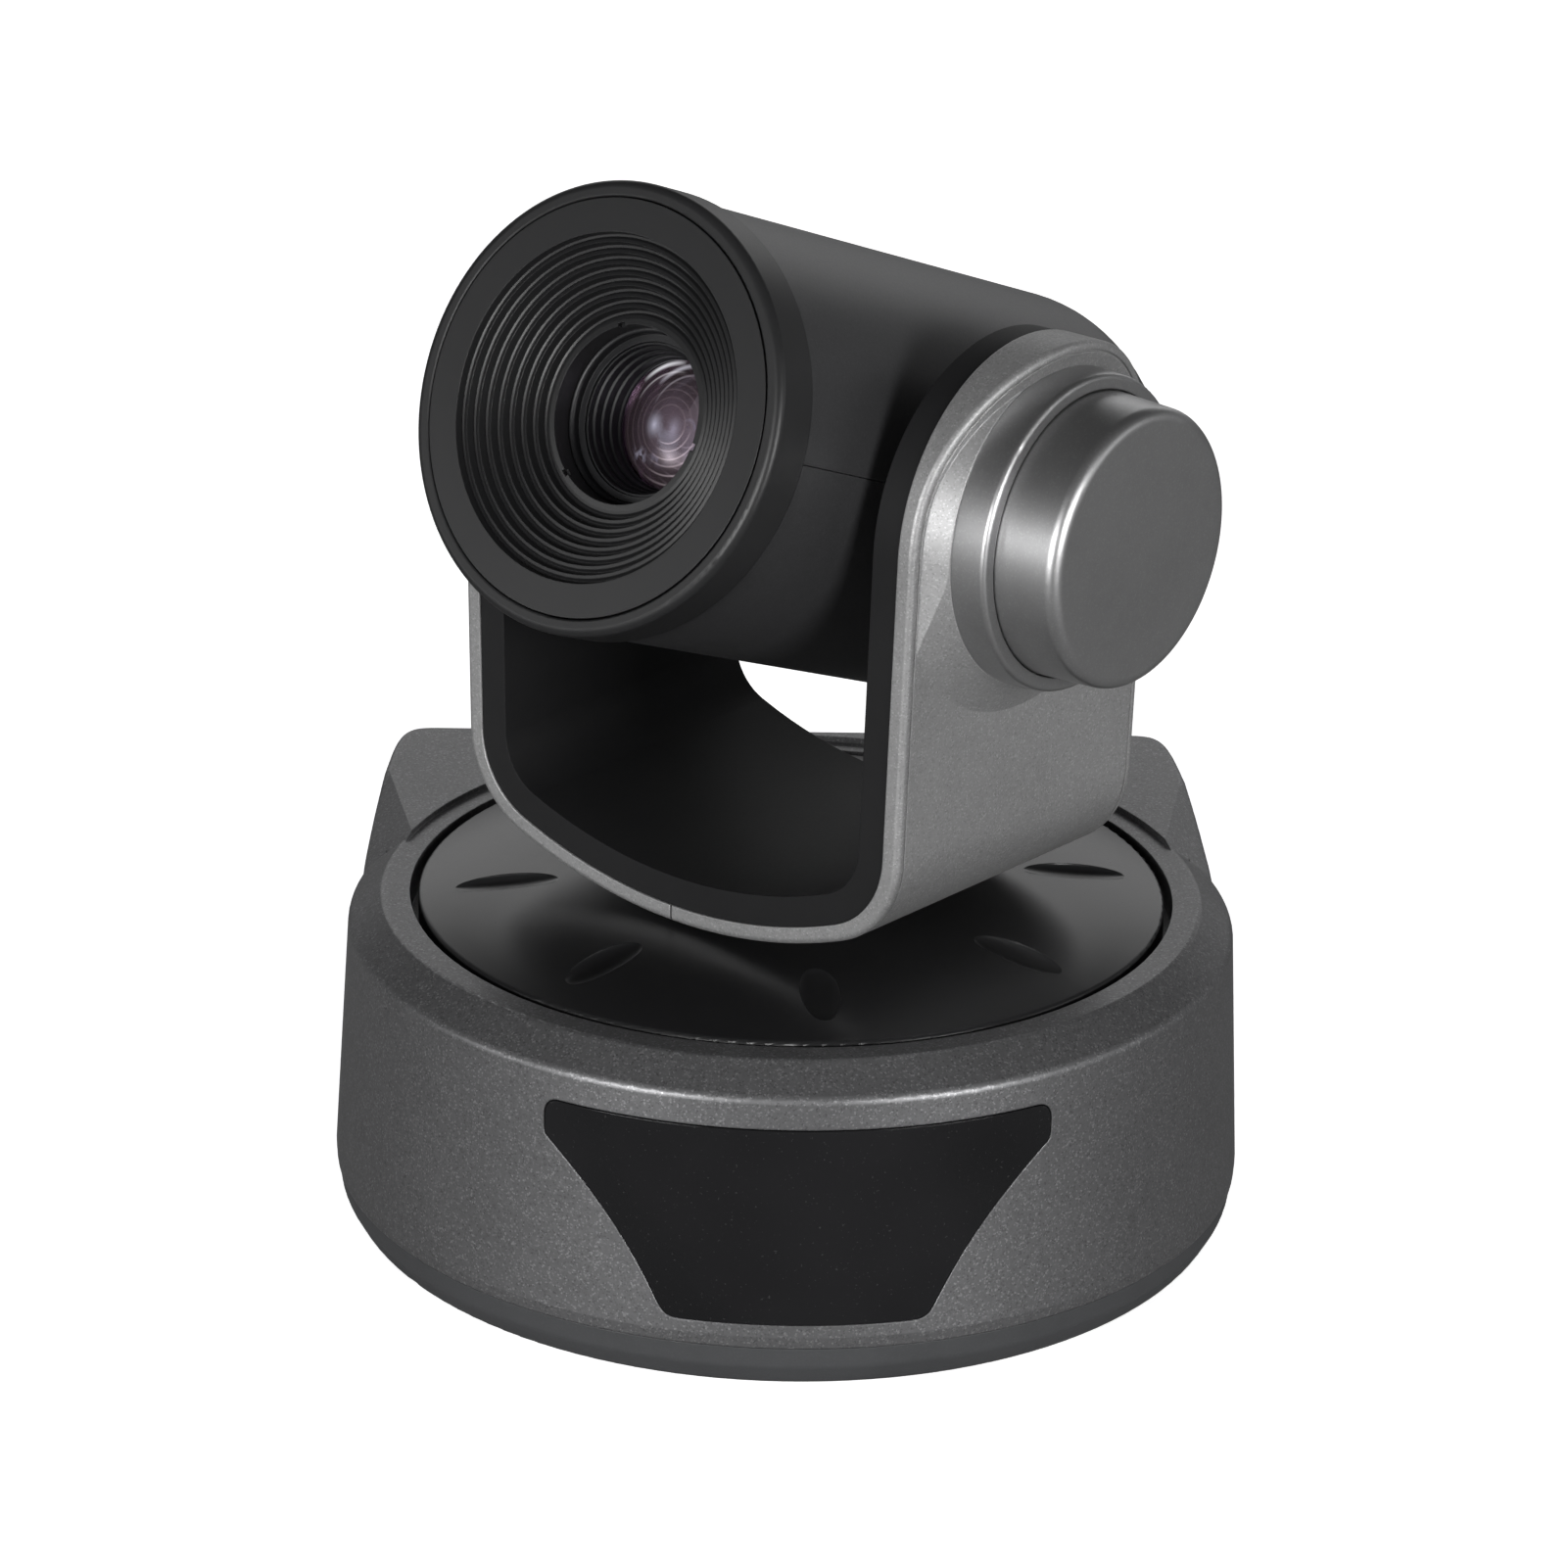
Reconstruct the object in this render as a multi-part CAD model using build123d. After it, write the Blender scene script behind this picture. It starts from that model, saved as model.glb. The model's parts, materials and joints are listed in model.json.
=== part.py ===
from build123d import *
import math
import os

# ------------------------------------------------------------------
# Desktop pan-tilt-zoom camera.  Millimetres, +Z up, front towards -Y,
# right is +X.  Origin: on the turntable axis, where the feet rest.
# Each piece is drawn in its home position (head level, facing front),
# with z = 0 at the underside of the bottom cover, and is turned to
# the rest pose when it is saved.
#
# Suffixes: _R radius, _X _Y _Z position, _S station along the optical
# axis (positive towards the front), _HUB distance from the tilt
# centre along +X.
# ------------------------------------------------------------------

# rest pose
PAN_REST = -40.7          # turntable angle about +Z
TILT_REST = 21.6          # head elevation, up positive
FOOT_PROUD = 1.0          # feet stand this far below the bottom cover
TILT_Z = 111.2            # tilt axis

# base drum
SEAM_R, SEAM_Z = 63.9, 7.4
DRUM_LOW_R, DRUM_LOW_Z = 64.0, 9.0
DRUM_TOP_R, DRUM_TOP_Z = 62.1, 42.9
BEVEL_TOP_R, LIP_Z = 57.3, 46.7
WELL_R = 53.5
WALL = 2.4

# squared block at the back
BLOCK_TOP_Z = 47.5
BLOCK_Y = 58.8
BLOCK_STEP_R = 56.8
DRAFT = math.tan(math.radians(2.4))
BLOCK_FLARE = (BLOCK_TOP_Z - SEAM_Z) * DRAFT   # outward growth of the plan at the seam

# turntable disc
DISC_R, DISC_EDGE_Z, DISC_TOP_Z = 52.3, 46.5, 48.9

# yoke: a U of a wide bottom arc, two corner arcs and two leaning arms
YOKE_HALF = 25.2          # half depth and arch radius
YOKE_BOTTOM_Z = 49.5
YOKE_BOTTOM_R = 77.0
YOKE_CORNER_R = 15.0
YOKE_TOP_Z = 140.0        # the U outline is drawn up to here
BOTTOM_ANGLE = math.radians(22.0)
ARM_ANGLE = math.radians(88.5)
YOKE_SKIN = 2.4
YOKE_THICK = 6.7
YOKE_DRAFT = 1.4          # the outer sides stand this much further out at the back
FLARE_Z, FLARE_RATE = 117.0, 0.0117   # outward flare of the arms above this height

# hub on the +X arm
SHOULDER_HUB = 42.9       # raised face around the hub
COLLAR_R, COLLAR_HUB = 21.5, 48.2
CAP_R, CAP_FRONT_R, CAP_HUB = 19.4, 18.9, 57.7

# head
HEAD_R, HEAD_WALL = 29.3, 2.0
HEAD_REAR_S, HEAD_FILLET = -55.5, 12.0
BEZEL_R, BEZEL_REAR_S, FRONT_S = 30.0, 39.1, 46.3
INNER_RING_R = 27.7
FUNNEL_R = 23.06
LENS_OPEN_R, LENS_OPEN_S = 11.9, 39.4

# drives
PAN_MODULE, PAN_TEETH, PAN_PINION_TEETH = 0.8, 60, 12
PAN_CENTRES = PAN_MODULE * (PAN_TEETH + PAN_PINION_TEETH) / 2
TILT_MODULE, TILT_TEETH, TILT_PINION_TEETH = 0.5, 24, 10
TILT_CENTRES = TILT_MODULE * (TILT_TEETH + TILT_PINION_TEETH) / 2


# ------------------------------------------------------------------
# helpers
# ------------------------------------------------------------------
def revolved(points, fillets=()):
    """Solid of revolution about Z from (r, z) points; fillets = ((r, z, radius), ...)."""
    face = make_face(Plane.XZ * Polyline(*points, close=True))
    for r, z, radius in fillets:
        corner = min(face.vertices(), key=lambda v: (v.X - r) ** 2 + (v.Z - z) ** 2)
        face = fillet(corner, radius)
    return revolve(face, Axis.Z, 360)


def rod(radius, z0, z1, x=0.0, y=0.0):
    return Pos(x, y, (z0 + z1) / 2) * Cylinder(radius, z1 - z0)


def rod_y(radius, length, x, y, z):
    """Cylinder along Y, centred on (x, y, z)."""
    return Pos(x, y, z) * Rot(90, 0, 0) * Cylinder(radius, length)


def tube(outer_r, inner_r, z0, z1):
    return rod(outer_r, z0, z1) - rod(inner_r, z0 - 1, z1 + 1)


def block(x0, x1, y0, y1, z0, z1):
    """Box between two opposite corners; x or y ends may come in either order."""
    centre = Pos((x0 + x1) / 2, (y0 + y1) / 2, (z0 + z1) / 2)
    return centre * Box(abs(x1 - x0), abs(y1 - y0), z1 - z0)


def drill(body, radius, z0, z1, points):
    for x, y in points:
        body -= rod(radius, z0, z1, x, y)
    return body


def polar(radius, degrees):
    angle = math.radians(degrees)
    return radius * math.cos(angle), radius * math.sin(angle)


def pair(x, y):
    return [(x, y), (-x, y)]


def gear(module, teeth, z0, z1, bore, phase=0.0, slack=0.05):
    """Spur gear with a tooth centred on angle `phase` (degrees)."""
    pitch_r = module * teeth / 2
    tip_r = pitch_r + 0.85 * module
    root_r = pitch_r - 1.15 * module
    pressure = math.radians(20)
    base_r = pitch_r * math.cos(pressure)
    involute = math.tan(pressure) - pressure
    half = math.pi / (2 * teeth) - slack / (2 * pitch_r)

    def flank(r):
        """Half angle of the tooth at radius r."""
        if r <= base_r:
            return half + involute
        angle = math.acos(base_r / r)
        return half + involute - (math.tan(angle) - angle)

    radii = [root_r, max(base_r, root_r + 0.02), pitch_r - 0.3 * module, pitch_r,
             pitch_r + 0.45 * module, tip_r]
    radii = sorted(set(round(r, 5) for r in radii))
    points = []
    for i in range(teeth):
        centre = math.radians(phase) + 2 * math.pi * i / teeth
        for side, ordered in ((-1, radii), (1, radii[::-1])):
            for r in ordered:
                angle = centre + side * flank(r)
                points.append((r * math.cos(angle), r * math.sin(angle)))
    wheel = extrude(make_face(Polyline(*points, close=True)), z1 - z0)
    wheel = Pos(0, 0, z0) * wheel
    if bore > 0:
        wheel -= rod(bore, z0 - 1, z1 + 1)
    return wheel


def screw(shank_r, head_r, length, head_h):
    """Cross-slotted screw along +Z: head below z = 0, shank up to z = length."""
    body = rod(head_r, -head_h, 0) + rod(shank_r, -0.2, length)
    body -= Pos(0, 0, -head_h) * Box(head_r * 1.2, 0.5, 0.8)
    body -= Pos(0, 0, -head_h) * Box(0.5, head_r * 1.2, 0.8)
    return body


# Frames.  HUB: local +Z -> +X, local +X -> down, centred on the tilt axis.
# LENS_FRAME: local +Z -> front along the optical axis, local +Y -> up.
HUB = Pos(0, 0, TILT_Z) * Rot(0, 90, 0)
ALONG_X = Rot(0, 90, 0)
BASE_FRAME = Pos(0, 0, FOOT_PROUD)
PAN_FRAME = BASE_FRAME * Rot(0, 0, PAN_REST)
LENS_FRAME = PAN_FRAME * Pos(0, 0, TILT_Z) * Rot(-TILT_REST, 0, 0) * Rot(90, 0, 0)

os.makedirs("parts", exist_ok=True)


def save(name, frame, shape):
    """Put a shape, or a list of shapes, in its frame and write it as one file."""
    pieces = shape if isinstance(shape, list) else [shape]
    solids = [solid for piece in pieces for solid in (frame * piece).solids()]
    out = solids[0] if len(solids) == 1 else Compound(children=solids)
    export_step(out, f"parts/{name}.step")


# ------------------------------------------------------------------
# base shell: drum and squared block
# ------------------------------------------------------------------
# right flank of the block plan at its top: x, y
BLOCK_SIDE = [(60.2, 0.0), (60.5, 15.0), (60.1, 24.0), (59.4, 34.0), (58.5, 44.0), (57.9, 50.0)]


def block_plan(z, grow):
    """Plan outline of the squared back block at height z, grown outwards."""
    rear_y = BLOCK_Y + grow
    side = [(x + grow, y) for x, y in BLOCK_SIDE]
    end_x, end_y = side[-1]
    rear_x = 51.6 + grow * 0.8
    right = Spline(*side, tangents=[(0, 1), (-0.12, 1)])
    corner = Bezier((end_x, end_y), (end_x - 0.9, rear_y - 1.4), (end_x - 2.0, rear_y),
                    (rear_x, rear_y))
    rear = Line((rear_x, rear_y), (-rear_x, rear_y))
    left_corner = Bezier((-rear_x, rear_y), (-(end_x - 2.0), rear_y),
                         (-(end_x - 0.9), rear_y - 1.4), (-end_x, end_y))
    left = Spline(*[(-x, y) for x, y in reversed(side)], tangents=[(-0.12, -1), (0, -1)])
    front = Line((-side[0][0], 0), (side[0][0], 0))
    return Pos(0, 0, z) * make_face(right + corner + rear + left_corner + left + front)


block_outer = loft([block_plan(SEAM_Z, BLOCK_FLARE), block_plan(BLOCK_TOP_Z, 0)], ruled=True)
# sloping shoulders that run out into the bevel of the drum
for side in (1, -1):
    normal = Vector(96.4 * side, -17.5, 140.8).normalized()
    slope = Plane(origin=(58.5 * side, 43, BLOCK_TOP_Z), z_dir=normal)
    block_outer -= slope * Pos(0, 0, 20) * Box(140, 140, 40)
# round the upper edges, but not the creases between top and shoulders
creases = [e for e in block_outer.edges()
           if abs(e.center().Z - BLOCK_TOP_Z) < 0.05 and abs(abs(e.center().X) - 56) < 2.6
           and e.length > 15 and abs(e.center().Y) < 40]
rim_edges = [e for e in block_outer.edges()
             if e.center().Z > 42 and e not in creases
             and (e.center().Y > 50 or (abs(e.center().X) > 57.0 and e.center().Y > 5))]
try:
    block_outer = fillet(rim_edges, 1.0)
except Exception:
    pass    # guards the fillet: if it cannot be built, the edges stay sharp

DRUM_BACK_Y = 45          # the drum is cut off here, inside the block
front_part = block(-70, 70, -70, DRUM_BACK_Y, 0, 60)
drum = revolved(
    [(0, SEAM_Z), (SEAM_R, SEAM_Z), (DRUM_LOW_R, DRUM_LOW_Z), (DRUM_TOP_R, DRUM_TOP_Z),
     (BEVEL_TOP_R, LIP_Z), (0, LIP_Z)],
    fillets=((DRUM_TOP_R, DRUM_TOP_Z, 1.6), (BEVEL_TOP_R, LIP_Z, 1.0)))
block_outer -= rod(BLOCK_STEP_R, LIP_Z - 0.02, 60)
drum = drum & front_part
base_outer = drum + block_outer
base_outer -= rod(WELL_R, 42.0, 60)      # turntable well

# hollow inside, up to the well floor, with a channel round the well
CEILING_Z = 40.0
hollow = revolved([(0, 0), (61.5, 0), (61.5, DRUM_LOW_Z), (59.7, CEILING_Z), (0, CEILING_Z)])
hollow += revolved([(0, 39.9), (59.7, 39.9), (59.6, 41.4), (56.6, 43.9), (55.6, 43.9),
                    (55.6, 39.95), (0, 39.95)])
hollow = hollow & block(-70, 70, -70, DRUM_BACK_Y, -5, 60)
block_inner = loft([block_plan(SEAM_Z - 1, BLOCK_FLARE - WALL),
                    block_plan(CEILING_Z, 0.3 - WALL)], ruled=True)
block_attic = extrude(block_plan(39.9, -WALL - 0.6), 5.0) - rod(56.0, 0, 60)
well_opening = rod(50.0, 38, 60)
base_shell = base_outer - hollow - block_inner - block_attic - well_opening

# chassis posts under the well floor, with blind pilot holes
PILOT_R = 1.35
POSTS = pair(39.055, 32.1) + pair(39.055, -32.1)
for x, y in POSTS:
    base_shell += rod(3.6, 28.7, 41.0, x, y)
    base_shell -= rod(PILOT_R, 26.0, 37.0, x, y)
# bosses for the bottom cover screws; the rear two have a rib to the side wall
BOSS_R = 3.4
BOSSES = [polar(58.2, angle) for angle in (35, 145, 215, 325)]
for x, y in BOSSES:
    base_shell += rod(BOSS_R, SEAM_Z + 0.1, 26.0, x, y) & rod(61.8, 0, 50)
    if y > 0:
        side = 1 if x > 0 else -1
        base_shell += block(49.5 * side, 59.2 * side, y - 1.0, y + 1.0, SEAM_Z + 0.4, 24.0)
    base_shell -= rod(PILOT_R, 5.0, 20.0, x, y)

# front window: trapezoid with curved flanks, wrapped on the drum
WINDOW_TOP_Z, WINDOW_LOW_Z = 38.6, 10.9


def window_prism(grow):
    """Window outline, grown outwards, extruded towards the front."""
    top_z, low_z = WINDOW_TOP_Z + grow, WINDOW_LOW_Z - grow
    top_x, side_x, flank_x, foot_x, low_x = (x + grow for x in (31.6, 33.6, 32.0, 18.4, 15.0))
    top = Line((-top_x, top_z), (top_x, top_z))
    upper_corner = Bezier((top_x, top_z), (side_x, top_z), (side_x, WINDOW_TOP_Z - 2.0),
                          (side_x, WINDOW_TOP_Z - 2.2))
    edge = Line((side_x, WINDOW_TOP_Z - 2.2), (side_x, 34.2))
    bend = Bezier((side_x, 34.2), (side_x, 33.2), (32.6 + grow, 32.7), (flank_x, 32.0))
    flank = Spline((flank_x, 32.0), (26.2 + grow, 25.6), (21.4 + grow, 18.6), (foot_x, 12.9),
                   tangents=[(-0.72, -0.7), (-0.44, -0.9)])
    lower_corner = Bezier((foot_x, 12.9), (17.6 + grow, 11.2 - grow), (16.6 + grow, low_z),
                          (low_x, low_z))
    bottom = Line((low_x, low_z), (-low_x, low_z))
    right = upper_corner + edge + bend + flank + lower_corner
    left = mirror(right, about=Plane.YZ)
    outline = make_face(top + right + bottom + left)
    return extrude(Plane.XZ * outline, 70, dir=(0, -1, 0))


def skin_layer(outer_grow, inner_drop):
    """Layer that follows the drum wall, from outside it to inside it."""
    z0, z1 = 8.0, 42.0
    taper = (DRUM_LOW_R - DRUM_TOP_R) / (DRUM_TOP_Z - DRUM_LOW_Z)
    r0 = DRUM_LOW_R - (z0 - DRUM_LOW_Z) * taper
    r1 = DRUM_LOW_R - (z1 - DRUM_LOW_Z) * taper
    return revolved([(r0 - inner_drop, z0), (r0 + outer_grow, z0),
                     (r1 + outer_grow, z1), (r1 - inner_drop, z1)])


base_shell -= window_prism(0.12) & skin_layer(2.0, 1.3)
front_window = window_prism(0.0) & skin_layer(0.12, 1.2)
# holes behind the window for the receiver and the lamp
LAMP_X, RECEIVER_X, SIGNAL_Z = -9.0, 9.0, 24
for x in (LAMP_X, RECEIVER_X):
    base_shell -= rod_y(3.3, 14, x, -58, SIGNAL_Z)

# opening for the connector panel
PANEL_X, PANEL_Z0, PANEL_Z1 = 41.0, 13.0, 39.0
base_shell -= block(-PANEL_X, PANEL_X, 50, 70, PANEL_Z0, PANEL_Z1)

save("base_shell", BASE_FRAME, base_shell)
save("front_window", BASE_FRAME, front_window)

# ------------------------------------------------------------------
# bottom cover, feet and what screws into it
# ------------------------------------------------------------------
COVER_FLOOR = 2.5
COVER_TOP_Z = SEAM_Z - 0.15
INSERT_R = 5.5
FOOT_R = 6.5
FEET = pair(42.0, 45.0) + pair(34.0, -36.0)
STANDOFFS = pair(38.0, 20.0) + pair(30.0, -34.0)
BOARD_Z = 9.0

cover_round = revolved(
    [(0, 0), (58.6, 0), (61.6, 1.2), (63.3, 4.2), (63.75, COVER_TOP_Z), (61.2, COVER_TOP_Z),
     (60.9, 4.6), (59.2, COVER_FLOOR), (0, COVER_FLOOR)],
    fillets=((58.6, 0, 3.0), (61.6, 1.2, 2.5), (63.3, 4.2, 2.5)))
rim = loft([block_plan(0, BLOCK_FLARE - 4.6), block_plan(3.0, BLOCK_FLARE - 0.9),
            block_plan(COVER_TOP_Z, BLOCK_FLARE - 0.15)], ruled=False)
rim_inner = loft([block_plan(COVER_FLOOR, BLOCK_FLARE - 4.4),
                  block_plan(SEAM_Z + 0.5, BLOCK_FLARE - 2.7)], ruled=True)
cover_front = block(-70, 70, -70, 20, -5, 20)
cover = (cover_round & cover_front) + rim
cover -= rim_inner
cover -= revolved([(0, COVER_FLOOR), (59.0, COVER_FLOOR), (60.9, 4.8), (61.2, 9),
                   (0, 9)]) & cover_front
# tripod boss and anti-rotation pocket
cover += rod(9.0, 2.0, 8.2)
cover -= rod(INSERT_R + 0.05, -1, 7.2)
cover -= rod(2.2, -1, 1.8, 0, 16)
cover = drill(cover, FOOT_R + 0.1, -1, 0.9, FEET)
# screw bosses, counterbored from below
for x, y in BOSSES:
    cover += rod(BOSS_R, 1.5, COVER_TOP_Z, x, y) & rod(61.5, 0, 50)
    cover -= rod(2.9, -1, 4.0, x, y)
    cover -= rod(1.6, -1, 12.0, x, y)
# board stand-offs
for x, y in STANDOFFS:
    cover += rod(2.6, 2.0, BOARD_Z - 0.05, x, y)
    cover -= rod(1.0, 4.0, 10.0, x, y)
# vent slots
for i in range(7):
    cover -= Pos(-18 + 6 * i, 36, 1) * Box(2.2, 14, 8)
save("bottom_cover", BASE_FRAME, cover)

feet = []
for x, y in FEET:
    foot = rod(FOOT_R, -FOOT_PROUD, 0.85, x, y)
    lower_edge = foot.edges().filter_by(GeomType.CIRCLE).sort_by(Axis.Z)[0]
    feet.append(fillet(lower_edge, 0.4))
save("rubber_feet", BASE_FRAME, feet)

save("base_screws", BASE_FRAME, [Pos(x, y, 4.0) * screw(1.3, 2.6, 12.0, 1.8) for x, y in BOSSES])
save("tripod_insert", BASE_FRAME, tube(INSERT_R, 2.6, 0.0, 7.1))

# main board, rounded at the front, with three raised components
board = block(-42, 42, -40, 53.0, BOARD_Z, 10.6) & (rod(55.0, 0, 20) + block(-42, 42, 20, 53, 0, 20))
board += (block(-9, 9, 18, 34, 10.5, 11.8) + block(16, 26, -6, 4, 10.5, 11.6)
          + block(-30, -22, -4, 10, 10.5, 11.6))
board = drill(board, 1.1, 8, 12, STANDOFFS)
save("main_board", BASE_FRAME, board)

# ------------------------------------------------------------------
# connector panel and connectors
# ------------------------------------------------------------------
USB_X, USB_HALF = -27.0, 6.0
DC_X, DC_HALF = 29.0, 5.0
CONTROL_XS = (-8.0, 10.5)
CONTROL_R = 6.9
PORT_Z = 19.6             # centre height of the round ports
PORT_FRONT_Y, PORT_STEP_Y = 43.0, 53.8   # connector bodies in the base
PORT_LOW_Z, PORT_TOP_Z = 10.65, 24.9

panel = block(-PANEL_X + 0.1, PANEL_X - 0.1, 55.5, 57.6, PANEL_Z0 + 0.1, PANEL_Z1 - 0.1)
panel += block(-PANEL_X - 2, PANEL_X + 2, 53.9, 55.6, PANEL_Z0 - 1.6, PANEL_Z1 + 0.6)
for x, half in ((USB_X, USB_HALF), (DC_X, DC_HALF)):
    panel -= block(x - half - 0.3, x + half + 0.3, 50, 62, PANEL_Z0 + 0.6, 25.3)
for x in CONTROL_XS:
    panel -= rod_y(CONTROL_R + 0.3, 14, x, 56, PORT_Z)
save("rear_panel", BASE_FRAME, panel)


def port_body(x, half):
    """Connector body with a shallower nose through the panel."""
    body = block(x - half, x + half, PORT_FRONT_Y, PORT_STEP_Y, PORT_LOW_Z, PORT_TOP_Z)
    return body + block(x - half, x + half, 53.0, 57.4, 14.0, PORT_TOP_Z)


usb = port_body(USB_X, USB_HALF)
usb -= block(USB_X - 4.6, USB_X + 4.6, 46, 60, 15.4, 23.5)
usb += block(USB_X - 3, USB_X + 3, 45.5, 56.4, 18.3, 20.6)    # tongue
save("usb_port", BASE_FRAME, usb)

dc_jack = port_body(DC_X, DC_HALF)
dc_jack -= rod_y(3.4, 14, DC_X, 54, PORT_Z)
dc_jack += rod_y(1.0, 10, DC_X, 51, PORT_Z)                   # centre pin
save("dc_power_jack", BASE_FRAME, dc_jack)

control_ports = []
for x in CONTROL_XS:
    port = (block(x - CONTROL_R, x + CONTROL_R, PORT_FRONT_Y, PORT_STEP_Y, PORT_LOW_Z, 25.6)
            + rod_y(CONTROL_R, 4.4, x, 55.2, PORT_Z))
    port -= rod_y(5.6, 8, x, 56.0, PORT_Z) - rod_y(4.6, 10, x, 56.0, PORT_Z)   # ring groove
    for i in range(8):
        pin_x, pin_z = polar(2.9, 22.5 + 45 * i)
        port -= rod_y(0.45, 8, x + pin_x, 56, PORT_Z + pin_z)
    control_ports.append(port)
save("control_ports", BASE_FRAME, control_ports)

# receiver: round nose on a square body, cut flat at the front
receiver = rod_y(2.9, 4.4, RECEIVER_X, -58.9, SIGNAL_Z)
receiver += block(RECEIVER_X - 2.9, RECEIVER_X + 2.9, -57.0, -54.0,
                  SIGNAL_Z - 2.9, SIGNAL_Z + 2.9)
receiver = receiver & block(0, 20, -60.6, -50, 10, 40)
save("ir_receiver", BASE_FRAME, receiver)

# lamp: stem, domed front and rear collar
lamp = rod_y(1.5, 6.0, LAMP_X, -58.0, SIGNAL_Z)
lamp += Pos(LAMP_X, -61.0, SIGNAL_Z) * Sphere(1.45)
lamp += rod_y(2.2, 1.4, LAMP_X, -55.6, SIGNAL_Z)
save("status_led", BASE_FRAME, lamp)

# ------------------------------------------------------------------
# pan chassis, motor, bearing and home sensor (fixed to the base)
# ------------------------------------------------------------------
MOTOR_Y = -PAN_CENTRES
MOTOR_SCREWS = [(-17.0, MOTOR_Y), (17.0, MOTOR_Y)]
MOTOR_SCREW_HOLE_R = 1.25
PAN_SHAFT_R = 1.5
BEARING_R, BEARING_Z0, BEARING_Z1 = 13.0, 27.02, 32.0
BALL_TRACK_R, BALL_R, BALL_Z = 10.53, 1.2, 29.5

# round plate with the bearing housing
chassis = tube(51.5, 0.0, 26.0, 28.5) if False else rod(51.5, 26.0, 28.5)
chassis += rod(16.5, 26.0, 33.4)
chassis -= rod(BEARING_R + 0.02, 27.0, 40)
chassis -= rod(11.0, 20, 40)
chassis -= rod(4.4, 20, 40, 0, MOTOR_Y)
chassis = drill(chassis, MOTOR_SCREW_HOLE_R, 20, 40, MOTOR_SCREWS)
chassis = drill(chassis, 1.6, 20, 40, POSTS)
chassis = drill(chassis, 9.0, 20, 40, [polar(33, angle) for angle in (20, 160, 90)])
save("pan_chassis", BASE_FRAME, chassis)
save("chassis_screws", BASE_FRAME, [Pos(x, y, 25.95) * screw(1.3, 2.8, 10.0, 1.6) for x, y in POSTS])

# motor: can, nose, two mounting ears, shaft bore and a groove round the can
motor = rod(14.0, 11.9, 25.6, 0, MOTOR_Y) + rod(4.2, 25.0, 28.2, 0, MOTOR_Y)
motor += (block(-21, 21, MOTOR_Y - 4, MOTOR_Y + 4, 24.6, 25.9)
          - rod(14.0, 26.0, 40, 0, MOTOR_Y))
motor = drill(motor, MOTOR_SCREW_HOLE_R, 20, 30, MOTOR_SCREWS)
motor -= rod(PAN_SHAFT_R + 0.06, 20.0, 40, 0, MOTOR_Y)
motor -= Pos(0, MOTOR_Y, 0) * tube(15, 13.6, 17.8, 18.4)
save("pan_motor", BASE_FRAME, motor)

# bearing: two races with ball tracks, and twelve balls
track = Pos(0, 0, BALL_Z) * Torus(BALL_TRACK_R, BALL_R + 0.06)
save("pan_bearing_outer", BASE_FRAME, tube(BEARING_R, 11.35, BEARING_Z0, BEARING_Z1) - track)
save("pan_bearing_balls", BASE_FRAME,
     [Pos(*polar(BALL_TRACK_R, 30 * i), BALL_Z) * Sphere(BALL_R) for i in range(12)])
save("pan_bearing_inner", PAN_FRAME, tube(9.7, 8.03, BEARING_Z0, BEARING_Z1) - track)

# home sensor: foot, post and overhanging top, past which a flag on the gear sweeps
home_sensor = block(-4, 4, 25.4, 33.4, 28.55, 31.6)
home_sensor += block(-4, 4, 30.4, 33.4, 31.0, 43.0) + block(-4, 4, 26.2, 33.4, 40.8, 43.0)
save("pan_home_sensor", BASE_FRAME, Rot(0, 0, 55) * home_sensor)

# ------------------------------------------------------------------
# pan drive, turns with the yoke
# ------------------------------------------------------------------
SPINDLE_R, SPINDLE_BORE_R = 8.0, 5.0
YOKE_SCREWS = [polar(11.0, angle) for angle in (45, 135, 225, 315)]
YOKE_SCREW_HOLE_R = 1.05

# spindle with a lower flange for the disc and a top flange for the yoke
spindle = (tube(SPINDLE_R, SPINDLE_BORE_R, 24.5, 51.4) + tube(20.0, SPINDLE_BORE_R, 43.4, 45.9)
           + tube(13.8, SPINDLE_BORE_R, 51.2, 52.85))
spindle += tube(9.6, SPINDLE_R - 0.1, 32.2, 34.5)
spindle -= tube(9.0, 7.45, 26.1, 27.0)                 # clip groove
spindle -= block(-20, -4.0, -6.4, 6.4, 52.1, 54)       # channel towards -X in the top face
spindle = drill(spindle, YOKE_SCREW_HOLE_R, 46, 60, YOKE_SCREWS)
save("pan_spindle", PAN_FRAME, spindle)

save("spindle_clip", PAN_FRAME, tube(10.6, 7.5, 26.2, 26.9) - block(-1.6, 1.6, 0, 20, 20, 30))

# gear with hub, six round windows and an index flag
pan_gear = gear(PAN_MODULE, PAN_TEETH, 34.6, 38.6, SPINDLE_R + 0.02, phase=-90.0)
pan_gear += tube(12.0, SPINDLE_R + 0.02, 38.4, 43.3)
pan_gear = drill(pan_gear, 4.2, 30, 39.0, [polar(16.8, 60 * i + 30) for i in range(6)])
pan_gear += Rot(0, 0, 235) * block(10.0, 29.2, -1.2, 1.2, 39.4, 40.4)
save("pan_gear", PAN_FRAME, pan_gear)

# pinion and motor shaft; a tooth gap meets the gear tooth at home
pan_pinion = gear(PAN_MODULE, PAN_PINION_TEETH, 33.8, 38.8, 0,
                  phase=90.0 + 180.0 / PAN_PINION_TEETH)
pan_pinion += rod(PAN_SHAFT_R, 20.4, 39.1)
pan_pinion = Pos(0, MOTOR_Y, 0) * Rot(0, 0, -PAN_REST * PAN_TEETH / PAN_PINION_TEETH) * pan_pinion
save("pan_pinion", BASE_FRAME, pan_pinion)

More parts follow.
